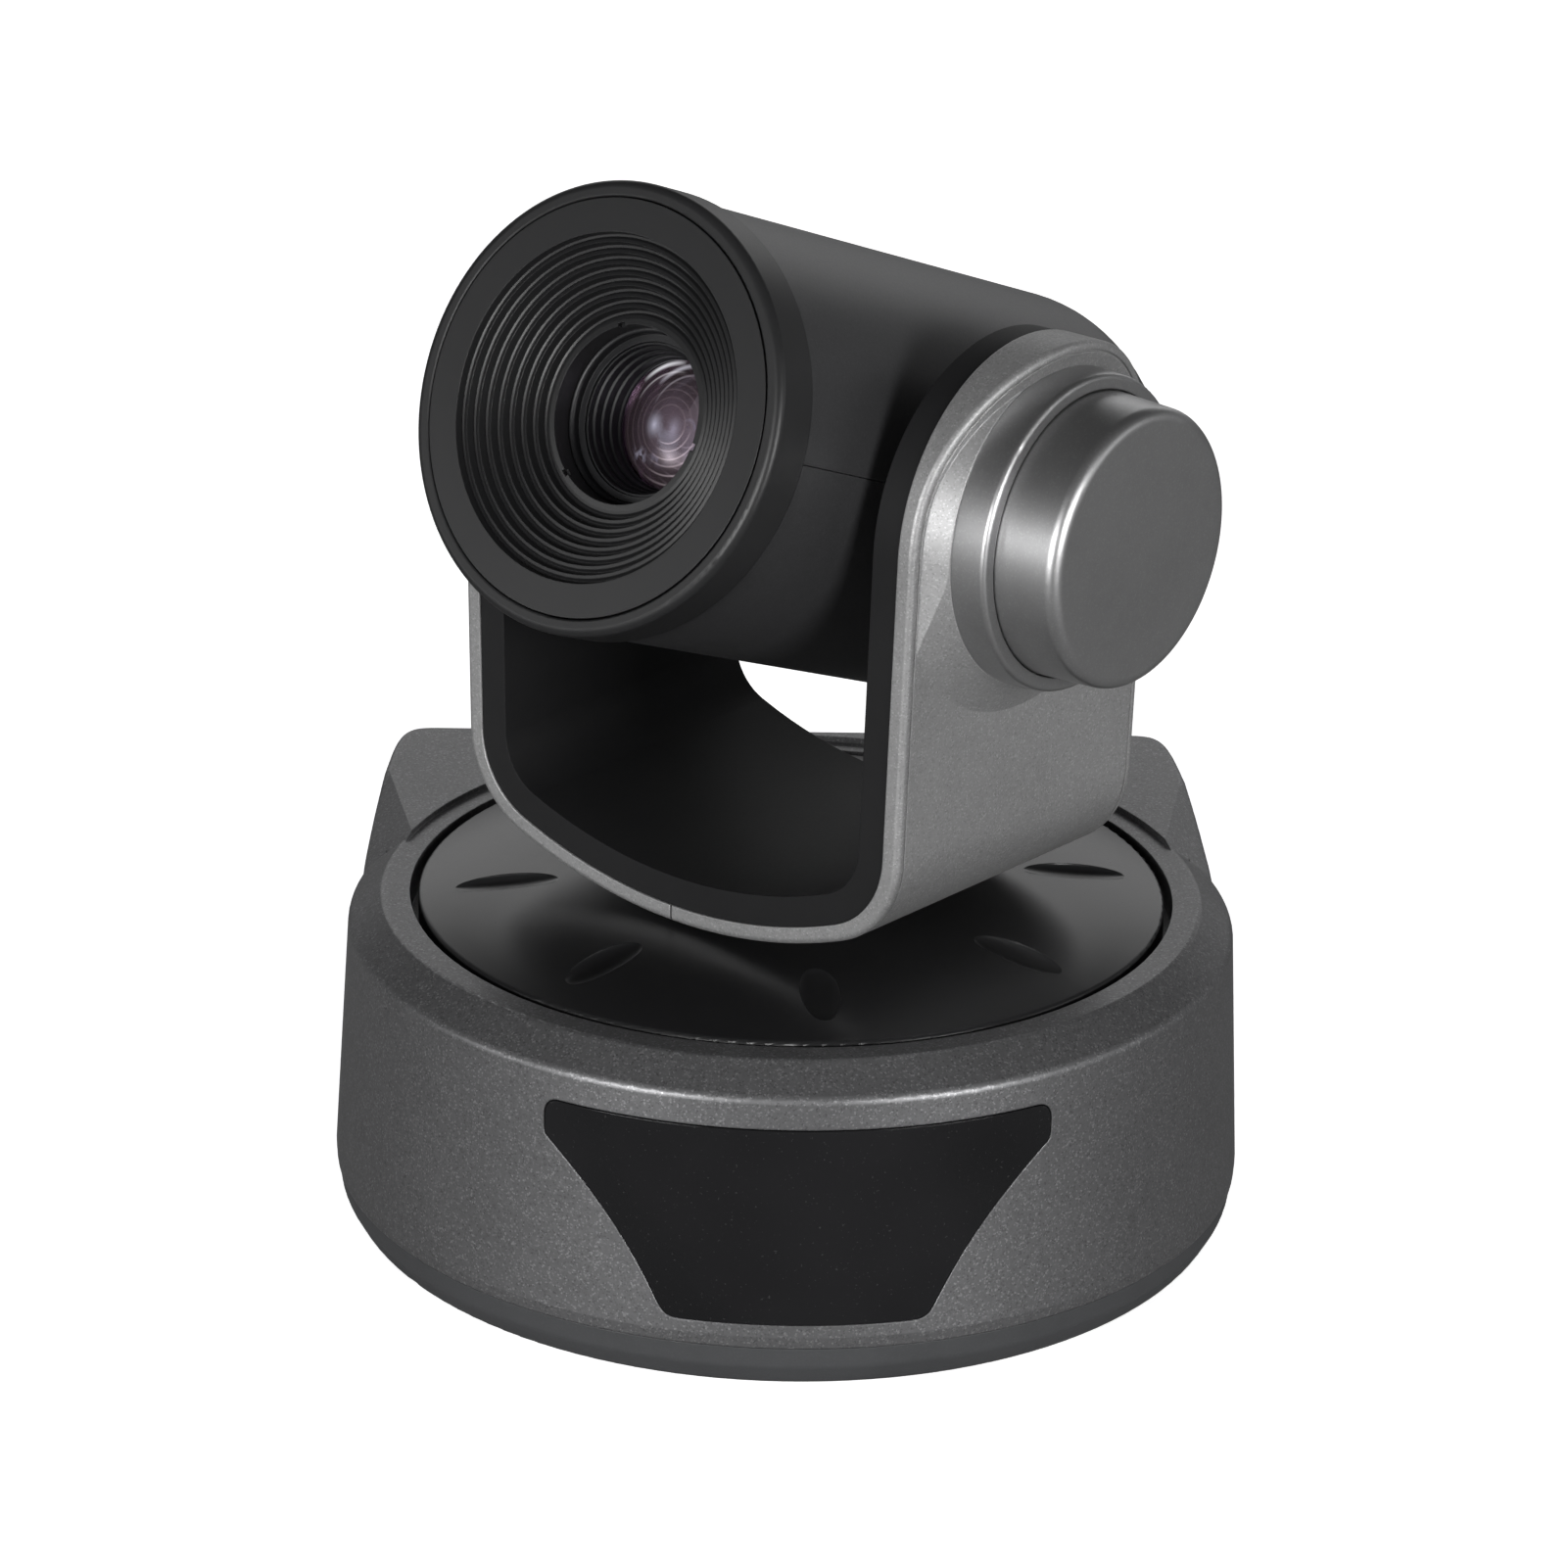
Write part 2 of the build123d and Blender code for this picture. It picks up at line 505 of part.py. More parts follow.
# ------------------------------------------------------------------
# turntable disc: flat middle, domed outer zone
# ------------------------------------------------------------------
DISC_BORE_R = 14.5
DOME_R0, DOME_R1, DOME_EDGE_Z = 33.0, DISC_R - 0.55, DISC_EDGE_Z + 0.25
DOME_DROP = DISC_TOP_Z - DOME_EDGE_Z
DOME_ARC_R = ((DOME_R1 - DOME_R0) ** 2 + DOME_DROP ** 2) / (2 * DOME_DROP)
DIMPLE_R = 40.0           # distance of the dimples from the axis


def dome_z(r):
    """Height of the domed zone at radius r."""
    return DISC_TOP_Z - DOME_ARC_R + math.sqrt(DOME_ARC_R ** 2 - (r - DOME_R0) ** 2)


dome_mid_r = (DOME_R0 + DOME_R1) / 2
disc_face = make_face(Plane.XZ * (
    Line((DISC_BORE_R, DISC_TOP_Z), (DOME_R0, DISC_TOP_Z))
    + ThreePointArc((DOME_R0, DISC_TOP_Z), (dome_mid_r, dome_z(dome_mid_r)),
                    (DOME_R1, DOME_EDGE_Z))
    + ThreePointArc((DOME_R1, DOME_EDGE_Z), (DISC_R - 0.15, DOME_EDGE_Z - 0.2),
                    (DISC_R, DOME_EDGE_Z - 0.6))
    + Polyline((DISC_R, DOME_EDGE_Z - 0.6), (DISC_R, 43.0), (50.5, 43.0), (50.5, 44.6),
               (46.0, 45.9), (33.0, 46.1), (DISC_BORE_R, 46.1), (DISC_BORE_R, DISC_TOP_Z))))
disc = revolve(disc_face, Axis.Z, 360)
dimple_tilt = math.degrees(math.asin((DIMPLE_R - DOME_R0) / DOME_ARC_R))
for i in range(8):
    dimple = scale(Sphere(1.0), by=(7.7, 2.7, 0.95))
    seat = Rot(0, 0, 45 * i + 90) * Pos(DIMPLE_R, 0, dome_z(DIMPLE_R)) * Rot(0, dimple_tilt, 0)
    disc -= seat * dimple
disc += tube(17.5, DISC_BORE_R, 46.1, 49.4)    # raised seat under the yoke
disc += tube(24.0, 20.2, 43.6, 46.2)           # locating ring underneath
save("pan_disc", PAN_FRAME, disc)

# ------------------------------------------------------------------
# yoke geometry
# ------------------------------------------------------------------
BOTTOM_CENTRE_Z = YOKE_BOTTOM_Z + YOKE_BOTTOM_R
CORNER_X = (YOKE_BOTTOM_R - YOKE_CORNER_R) * math.sin(BOTTOM_ANGLE)
CORNER_Z = BOTTOM_CENTRE_Z - (YOKE_BOTTOM_R - YOKE_CORNER_R) * math.cos(BOTTOM_ANGLE)


def yoke_curve(inset, widen=0.0):
    """Six points of the right half of the U, from the bottom middle to the arm top."""
    def bottom(angle):
        r = YOKE_BOTTOM_R - inset
        return widen + r * math.sin(angle), BOTTOM_CENTRE_Z - r * math.cos(angle)

    def corner(angle):
        r = YOKE_CORNER_R - inset
        return widen + CORNER_X + r * math.sin(angle), CORNER_Z - r * math.cos(angle)

    arm_foot = corner(ARM_ANGLE)
    arm_length = (YOKE_TOP_Z - arm_foot[1]) / math.sin(ARM_ANGLE)
    arm_top = (arm_foot[0] + arm_length * math.cos(ARM_ANGLE), YOKE_TOP_Z)
    return (bottom(0), bottom(BOTTOM_ANGLE / 2), bottom(BOTTOM_ANGLE),
            corner((BOTTOM_ANGLE + ARM_ANGLE) / 2), arm_foot, arm_top)


def yoke_face(inset, widen, y):
    """Area inside the U outline, moved inwards by inset and each half outwards by widen."""
    right = yoke_curve(inset, widen)
    start, mid, bend, bend_mid, foot, top = right
    start_l, mid_l, bend_l, bend_mid_l, foot_l, top_l = [(-x, z) for x, z in right]
    edges = (ThreePointArc(start, mid, bend) + ThreePointArc(bend, bend_mid, foot)
             + Line(foot, top) + Line(top, top_l) + Line(top_l, foot_l)
             + ThreePointArc(foot_l, bend_mid_l, bend_l) + ThreePointArc(bend_l, mid_l, start_l))
    if widen > 0:
        edges += Line(start_l, start)
    return Pos(0, y, 0) * (Plane.XZ * make_face(edges))


def yoke_region(inset):
    """Area inside the inset U outline, extruded front to back."""
    return Pos(0, 60, 0) * extrude(yoke_face(inset, 0.0, 0.0), 120, dir=(0, -1, 0))


def arm_x(inset, z):
    """Right arm line of the inset outline at height z."""
    foot_x, foot_z = yoke_curve(inset)[4]
    return foot_x + (z - foot_z) / math.tan(ARM_ANGLE)


def flare_x(z, shrink):
    x = arm_x(0, z) - shrink
    if z > FLARE_Z:
        x += FLARE_RATE * (z - FLARE_Z) ** 2
    return x


def outer_region(shrink):
    """Outside of the yoke: sides with draft, right arm flared outwards near its top."""
    reach = YOKE_HALF + 1.0
    widen = 0.02
    rear_widen = widen + YOKE_DRAFT * reach / YOKE_HALF
    body = loft([yoke_face(shrink, widen, -reach), yoke_face(shrink, rear_widen, reach)],
                ruled=True)
    heights = [FLARE_Z, 120.0, 124.0, 128.0, 132.0, 136.0, 139.0]
    inner_x = 38.0
    faces = []
    for y, shift in ((-reach, 0.0), (reach, YOKE_DRAFT)):
        points = [(flare_x(z, shrink) + shift, z) for z in heights]
        outline = Spline(*points) + Polyline(points[-1], (inner_x, heights[-1]),
                                             (inner_x, heights[0]), points[0])
        faces.append(Pos(0, y, 0) * (Plane.XZ * make_face(outline)))
    return body + loft(faces, ruled=True)


def arch_face(half, foot_z):
    """Side view with straight edges and a round top about the tilt axis."""
    return Plane.YZ * (Pos(0, TILT_Z) * Circle(half)
                       + Pos(0, (TILT_Z + foot_z) / 2) * Rectangle(2 * half, TILT_Z - foot_z))


def side_region(inset):
    """Side view of the yoke, inset, extruded across its whole width."""
    return Pos(-70, 0, 0) * extrude(arch_face(YOKE_HALF - inset, 30), 140, dir=(1, 0, 0))


# ------------------------------------------------------------------
# yoke covers
# ------------------------------------------------------------------
skin = (outer_region(0) - yoke_region(YOKE_SKIN)) & side_region(0)


def on_outer(edge):
    """Whether an edge of the front, back or arch lies on the outer face."""
    mid = edge.position_at(0.5)
    x, z = abs(mid.X), mid.Z
    on_arch = z > TILT_Z and abs(math.hypot(mid.Y, z - TILT_Z) - YOKE_HALF) < 0.05
    if not (abs(abs(mid.Y) - YOKE_HALF) < 0.05 or on_arch):
        return False
    inset = 1.2           # half the skin: parts outer edges from inner ones
    if z > 69:
        return x > arm_x(inset, z)
    if z > CORNER_Z - YOKE_CORNER_R * math.cos(BOTTOM_ANGLE) - 0.01 or x > 29.5:
        return math.hypot(x - CORNER_X, z - CORNER_Z) > YOKE_CORNER_R - inset
    return math.hypot(x, z - BOTTOM_CENTRE_Z) > YOKE_BOTTOM_R - inset


outer_edges = [e for e in skin.edges() if on_outer(e)]
for soften, size in ((fillet, 0.8), (fillet, 0.6), (chamfer, 0.7), (chamfer, 0.5)):
    try:
        skin = soften(outer_edges, size)
        break
    except Exception:
        continue    # guards the edge rounding: falls back to the next way in the list

skin -= (side_region(1.25) - side_region(1.5)) - outer_region(0.22)   # fine line along the edge
skin -= rod(14.6, 40, 56)                                             # spindle hole
cover_right = skin & block(-0.65, 80, -60, 60, 30, 160)
cover_left = skin & block(-80, -0.95, -60, 60, 30, 160)

# the face swells outwards around the hub, with a bevel along the front, back and arch
bevelled = loft([Pos(38.6, 0, 0) * arch_face(23.6, 60),
                 Pos(SHOULDER_HUB + 0.2, 0, 0) * arch_face(21.75, 60)], ruled=True)
bell = make_face(Plane.XZ * (
    Line((17.0, 36.5), (33.0, 36.5)) + Line((33.0, 36.5), (33.0, 37.5))
    + ThreePointArc((33.0, 37.5), (26.78, 39.06), (21.8, SHOULDER_HUB))
    + Line((21.8, SHOULDER_HUB), (17.0, SHOULDER_HUB))
    + Line((17.0, SHOULDER_HUB), (17.0, 36.5))))
shoulder = (HUB * revolve(bell, Axis.Z, 360)) & bevelled
cover_right = cover_right + shoulder
cover_right -= HUB * rod(18.3, 30, 50)      # opening for the tilt drive
save("yoke_cover_left", PAN_FRAME, cover_left)
save("yoke_cover_right", PAN_FRAME, cover_right)

# ------------------------------------------------------------------
# inside the yoke
# ------------------------------------------------------------------
TRUNNION_R = 4.0
PILLARS = [polar(15.2, angle) for angle in (30, 150, 270)]   # tilt bracket pillars, hub frame

# liner: inner wall plus a rim all round, open outwards
liner = (yoke_region(YOKE_SKIN + 0.06) - yoke_region(YOKE_THICK)) & side_region(0.25)
liner -= (yoke_region(YOKE_SKIN - 1) - yoke_region(YOKE_THICK - 1.5)) & side_region(1.75)
liner -= HUB * rod(7.6, -50, 50)
save("yoke_liner", PAN_FRAME, liner)

# sheet-metal frame
frame = (yoke_region(3.5) - yoke_region(5.0)) & side_region(4.0)
for z in (78.0, 90.0):
    for x in (-35, 35):
        frame -= Pos(x, 0, z) * ALONG_X * Cylinder(4.0, 20)
frame -= rod(5.2, 40, 60)
frame = drill(frame, YOKE_SCREW_HOLE_R, 40, 60, YOKE_SCREWS)
frame -= HUB * rod(6.0, -50, 50)
for x, y in PILLARS:
    frame -= HUB * rod(1.05, 30, 40, x, y)
save("yoke_frame", PAN_FRAME, frame)

save("yoke_screws", PAN_FRAME, [Pos(x, y, 51.15) * screw(1.0, 1.9, 3.4, 1.3) for x, y in YOKE_SCREWS])

# flanged bushes for the trunnions
bush_bore_r = TRUNNION_R + 0.04
bush = HUB * (tube(5.97, bush_bore_r, 33.0, 36.3) + tube(7.2, bush_bore_r, 33.0, 34.0))
save("tilt_bushes", PAN_FRAME, [bush, mirror(bush, about=Plane.YZ)])

# ribbon cable in the left arm
ribbon = (yoke_region(2.75) - yoke_region(3.15)) & block(-80, -7, -6, 6, 40, 103.5)
save("head_ribbon_cable", PAN_FRAME, ribbon)

# ------------------------------------------------------------------
# hub housing and tilt drive
# ------------------------------------------------------------------
collar = HUB * revolved(
    [(18.4, SHOULDER_HUB + 0.04), (COLLAR_R + 0.2, SHOULDER_HUB + 0.04), (COLLAR_R, COLLAR_HUB),
     (CAP_R + 0.15, COLLAR_HUB), (CAP_R + 0.15, 46.3), (18.4, 46.3)],
    fillets=((COLLAR_R, COLLAR_HUB, 0.7),))
collar -= outer_region(-0.04)
save("hub_collar", PAN_FRAME, collar)

cap_inner = CAP_HUB - 1.6
cap = HUB * revolved(
    [(17.6, 46.35), (CAP_R, 46.35), (CAP_FRONT_R, CAP_HUB), (0, CAP_HUB), (0, cap_inner),
     (17.5, cap_inner)],
    fillets=((CAP_FRONT_R, CAP_HUB, 1.7), (17.5, cap_inner, 0.8)))
save("hub_cap", PAN_FRAME, cap)

# In the hub frame +X is down: the motor sits below the tilt axis.
TILT_MOTOR_X = TILT_CENTRES
TILT_SHAFT_R = 1.0
PLATE_R, PLATE_Z0, PLATE_Z1 = 17.0, 42.0, 43.2

# motor bracket: plate on three pillars
bracket = tube(PLATE_R, 5.2, PLATE_Z0, PLATE_Z1)
for x, y in PILLARS:
    bracket += rod(1.9, 36.35, 42.5, x, y)
    bracket -= rod(1.0, 30.0, 40.0, x, y)
bracket += rod(6.5, PLATE_Z0, PLATE_Z1, TILT_MOTOR_X, 0) & rod(PLATE_R, 40, 50)
bracket -= rod(3.1, 40, 50, TILT_MOTOR_X, 0)
bracket -= rod(5.2, 40, 50)
save("tilt_motor_bracket", PAN_FRAME, HUB * bracket)

tilt_motor = rod(8.9, 43.3, 54.8, TILT_MOTOR_X, 0) + rod(3.0, 42.2, 43.5, TILT_MOTOR_X, 0)
tilt_motor -= rod(TILT_SHAFT_R + 0.06, 40, 49, TILT_MOTOR_X, 0)
tilt_motor += block(TILT_MOTOR_X - 3, TILT_MOTOR_X + 3, -11.4, -7, 46, 52)   # side lug
tilt_motor = tilt_motor & rod(17.4, 40, 60)
save("tilt_motor", PAN_FRAME, HUB * tilt_motor)

# The hub frame turns about +X, head elevation is a turn about -X.
tilt_pinion = gear(TILT_MODULE, TILT_PINION_TEETH, 37.7, 41.0, 0,
                   phase=180.0 + 180.0 / TILT_PINION_TEETH, slack=0.06)
tilt_pinion += rod(TILT_SHAFT_R, 37.4, 48.6)
tilt_pinion = Rot(0, 0, TILT_REST * TILT_TEETH / TILT_PINION_TEETH) * tilt_pinion
save("tilt_pinion", PAN_FRAME, HUB * Pos(TILT_MOTOR_X, 0, 0) * tilt_pinion)

# a tooth points at the motor at home
tilt_gear = gear(TILT_MODULE, TILT_TEETH, 37.9, 40.8, TRUNNION_R + 0.01, slack=0.06)
save("tilt_gear", PAN_FRAME, HUB * Rot(0, 0, -TILT_REST) * tilt_gear)

# ------------------------------------------------------------------
# head shells, bezel and lens surround (lens frame: z is the station)
# ------------------------------------------------------------------
head_inner_r = HEAD_R - HEAD_WALL
head_inner_s = HEAD_REAR_S + HEAD_WALL
head_outer = revolved(
    [(0, HEAD_REAR_S), (HEAD_R, HEAD_REAR_S), (HEAD_R, BEZEL_REAR_S - 0.1),
     (0, BEZEL_REAR_S - 0.1)],
    fillets=((HEAD_R, HEAD_REAR_S, HEAD_FILLET),))
head_inner = revolved(
    [(0, head_inner_s), (head_inner_r, head_inner_s), (head_inner_r, BEZEL_REAR_S + 2),
     (0, BEZEL_REAR_S + 2)],
    fillets=((head_inner_r, head_inner_s, HEAD_FILLET - HEAD_WALL),))
shell = head_outer - head_inner
shell = shell - ALONG_X * Cylinder(5.4, 80)      # trunnion holes
# the parting line is a fine gap
PARTING = 0.05
upper = shell & block(-40, 40, PARTING, 40, -80, 60)
lower = shell & block(-40, 40, -40, -PARTING, -80, 60)
# screw bosses in both shells: through holes and head recesses below, pilot holes above
HEAD_SCREWS = pair(21.5, -24.0) + pair(20.5, -41.0)      # x, station
for x, s in HEAD_SCREWS:
    lower += rod_y(2.8, 23.9, x, -12.0, s) & head_outer
    upper += rod_y(2.8, 23.9, x, 12.0, s) & head_outer
    lower -= rod_y(1.15, 40, x, -15, s)
    lower -= rod_y(2.2, 22, x, -17.0, s)
    upper -= rod_y(1.0, 8, x, 2.0, s)
save("head_shell_upper", LENS_FRAME, upper)
save("head_shell_lower", LENS_FRAME, lower)
save("head_screws", LENS_FRAME,
     [Pos(x, -6.03, s) * Rot(-90, 0, 0) * screw(0.95, 2.0, 11.0, 1.5) for x, s in HEAD_SCREWS])

bezel_inner_r = INNER_RING_R + 0.05
bezel = revolved(
    [(bezel_inner_r, FRONT_S), (BEZEL_R, FRONT_S), (BEZEL_R, BEZEL_REAR_S),
     (26.9, BEZEL_REAR_S), (26.9, 36.0), (25.6, 36.0), (25.6, 42.6), (bezel_inner_r, 42.6)],
    fillets=((BEZEL_R, FRONT_S, 1.1), (BEZEL_R, BEZEL_REAR_S, 0.35),
             (bezel_inner_r, FRONT_S, 0.25)))
save("front_bezel", LENS_FRAME, bezel)

# ridged funnel around the lens
RIDGES = 8
surround_face_s = FRONT_S - 0.05
ridge_dr = (FUNNEL_R - LENS_OPEN_R - 0.7) / RIDGES
ridge_ds = (FRONT_S - LENS_OPEN_S) / RIDGES
profile = [(INNER_RING_R - 0.12, surround_face_s), (FUNNEL_R, surround_face_s)]
for i in range(RIDGES):
    r = FUNNEL_R - ridge_dr * i
    s = surround_face_s - ridge_ds * (i + 1)
    profile += [(r - 0.08, s - 0.35), (r - 0.42, s - 0.45), (r - 0.75, s - 0.1),
                (r - ridge_dr + 0.1, s)]
profile += [(LENS_OPEN_R, LENS_OPEN_S), (LENS_OPEN_R, 36.4), (15.2, 36.4), (15.2, 36.0),
            (21.0, 39.3), (25.45, 42.7), (INNER_RING_R - 0.12, 42.7)]
surround = revolved(profile)
for angle in (112.0, -8.0, -128.0):      # three small notches in the opening's edge
    surround -= Rot(0, 0, angle) * block(LENS_OPEN_R - 0.5, LENS_OPEN_R + 0.45, -0.5, 0.5,
                                         LENS_OPEN_S - 0.8, LENS_OPEN_S + 1.0)
save("lens_surround", LENS_FRAME, surround)

# ------------------------------------------------------------------
# lens barrel and head chassis
# ------------------------------------------------------------------
BARREL_R, BARREL_REAR_S = 17.0, -13.0
GUIDE_R = 0.8
GUIDES = [(0.0, 12.6), (0.0, -12.6)]     # rods above and below the optical axis
ZOOM_X, FOCUS_X = -12.2, 12.2            # lead screws left and right of it
PLATE_REAR_S = -16.5

# tube with a narrower front cell
barrel = revolved(
    [(11.3, 36.2), (14.8, 36.2), (14.8, 30.0), (BARREL_R, 28.0), (BARREL_R, BARREL_REAR_S),
     (15.4, BARREL_REAR_S), (15.4, 24.0), (9.3, 24.0), (9.3, 24.8), (10.3, 24.8),
     (10.3, 34.9), (11.3, 34.9)],
    fillets=((11.3, 36.2, 0.5),))
save("lens_barrel", LENS_FRAME, barrel)

# meniscus: convex front, hollow rear
FRONT_LENS_R, REAR_LENS_R = 21.3, 58.0   # surface radii
front_lens = rod(10.2, 20, 40) & Pos(0, 0, 30.1 - FRONT_LENS_R) * Sphere(FRONT_LENS_R)
front_lens -= rod(20, 0, 24.9)
front_lens -= Pos(0, 0, 25.8 - REAR_LENS_R) * Sphere(REAR_LENS_R)
save("front_lens", LENS_FRAME, front_lens)

# long stepped ring that holds the front lens
retaining_ring = revolved(
    [(10.25, 27.65), (10.25, 34.6), (9.95, 34.6), (9.95, 33.7), (9.62, 33.5), (9.62, 32.3),
     (9.3, 32.1), (9.3, 30.9), (8.98, 30.7), (8.98, 29.4), (8.72, 29.2), (8.72, 28.75)])
save("lens_retaining_ring", LENS_FRAME, retaining_ring)

save("guide_rods", LENS_FRAME, [rod(GUIDE_R, -15.4, 23.9, x, y) for x, y in GUIDES])

# chassis: rear plate, ring round the barrel and two side cheeks
head_chassis = revolved([(6.0, PLATE_REAR_S), (22.5, PLATE_REAR_S), (22.5, -13.1), (6.0, -13.1)])
head_chassis = drill(head_chassis, GUIDE_R + 0.03, -15.5, -10, GUIDES)
head_chassis += tube(19.0, BARREL_R + 0.06, -13.2, 8.0)
for side in (-1, 1):
    head_chassis += block(18.2 * side, 24.6 * side, -7.0, 7.0, -10.0, 8.0)
head_chassis -= rod(BARREL_R + 0.06, -13.05, 60)
for x0, x1 in ((20.0, 60), (-60, -20.0)):        # trunnion holes
    head_chassis -= ALONG_X * rod(TRUNNION_R + 0.02, x0, x1)
head_chassis = drill(head_chassis, GUIDE_R + 0.03, -15.5, -10, GUIDES)
head_chassis = drill(head_chassis, 1.4, -20, -10, [(ZOOM_X, 0.0), (FOCUS_X, 0.0)])
save("head_chassis", LENS_FRAME, head_chassis)

# flanged trunnions on the tilt axis; the left one is bored through
trunnion_right = rod(TRUNNION_R, 20.1, 41.2) + rod(6.8, 24.65, 26.0)
trunnion_left = tube(TRUNNION_R, 1.6, 20.1, 36.45) + tube(6.8, 1.6, 24.65, 26.0)
save("trunnion_right", LENS_FRAME, ALONG_X * trunnion_right)
save("trunnion_left", LENS_FRAME, Rot(0, -90, 0) * trunnion_left)

# sensor board with two components on its rear face
sensor_board = block(-8.7, 8.7, -13, 13, -18.2, -16.95)
sensor_board += block(-7, 7, -8, -5, -20.6, -18.0) + block(-6, 6, 2, 10, -19.4, -18.0)
save("image_sensor_board", LENS_FRAME, sensor_board)
save("image_sensor", LENS_FRAME, block(-4.2, 4.2, -3.4, 3.4, -16.9, -15.3))


# ------------------------------------------------------------------
# moving lens groups
# ------------------------------------------------------------------
def carrier(s0, s1, lens_r, nut_x):
    """Lens ring with arms to both guide rods and a nut on one lead screw."""
    body = tube(lens_r + 2.0, lens_r, s0, s1)
    for x, y in GUIDES:
        body += block(-1.8, 1.8, y * 0.7, y * 1.13, s0, s1)
        body -= rod(GUIDE_R + 0.05, s0 - 1, s1 + 1, x, y)
    body += block(nut_x * 0.6, nut_x * 1.1, -1.7, 1.7, s0, s0 + 3.0)
    body -= rod(0.82, s0 - 1, s1 + 1, nut_x, 0.0)
    body -= rod(lens_r, s0 - 1, s1 + 1)
    return body & rod(15.2, -60, 60)


def lens_body(radius, s0, s1, bulge):
    """Biconvex lens with edge from s0 to s1."""
    surface_r = (radius * radius + bulge * bulge) / (2 * bulge)
    return (rod(radius, s0 - 5, s1 + 5)
            & Pos(0, 0, s1 + bulge - surface_r) * Sphere(surface_r)
            & Pos(0, 0, s0 - bulge + surface_r) * Sphere(surface_r))


ZOOM_LENS_R, FOCUS_LENS_R = 7.5, 7.0
save("zoom_carrier", LENS_FRAME, carrier(9.5, 14.5, ZOOM_LENS_R, ZOOM_X))
save("focus_carrier", LENS_FRAME, carrier(-6.0, -2.0, FOCUS_LENS_R, FOCUS_X))
save("zoom_lens", LENS_FRAME, lens_body(ZOOM_LENS_R - 0.05, 11.0, 13.0, 1.2))
save("focus_lens", LENS_FRAME, lens_body(FOCUS_LENS_R - 0.05, -5.0, -3.2, 0.9))

# motors sit behind the chassis plate, lead screws reach forward through it
MOTOR_FRONT_S = PLATE_REAR_S - 0.1
for name, x, tip_s in (("zoom", ZOOM_X, 23.8), ("focus", FOCUS_X, 6.0)):
    lead_screw = rod(0.75, -19.5, tip_s, x) + rod(1.1, -19.4, -17.0, x)
    save(f"{name}_screw", LENS_FRAME, lead_screw)
    micro_motor = rod(3.2, MOTOR_FRONT_S - 8.0, MOTOR_FRONT_S, x)
    micro_motor -= rod(1.2, MOTOR_FRONT_S - 4.0, MOTOR_FRONT_S + 1, x)
    save(f"{name}_motor", LENS_FRAME, micro_motor)
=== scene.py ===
"""Finishes, studio and camera for a lensed head that tilts in a yoke.

The camera looks from the -Y side, slightly down; "front" here means -Y.
"""
import bpy
import json
import math
from mathutils import Matrix, Vector

MM = 0.001
WHITE = (1, 1, 1, 1)

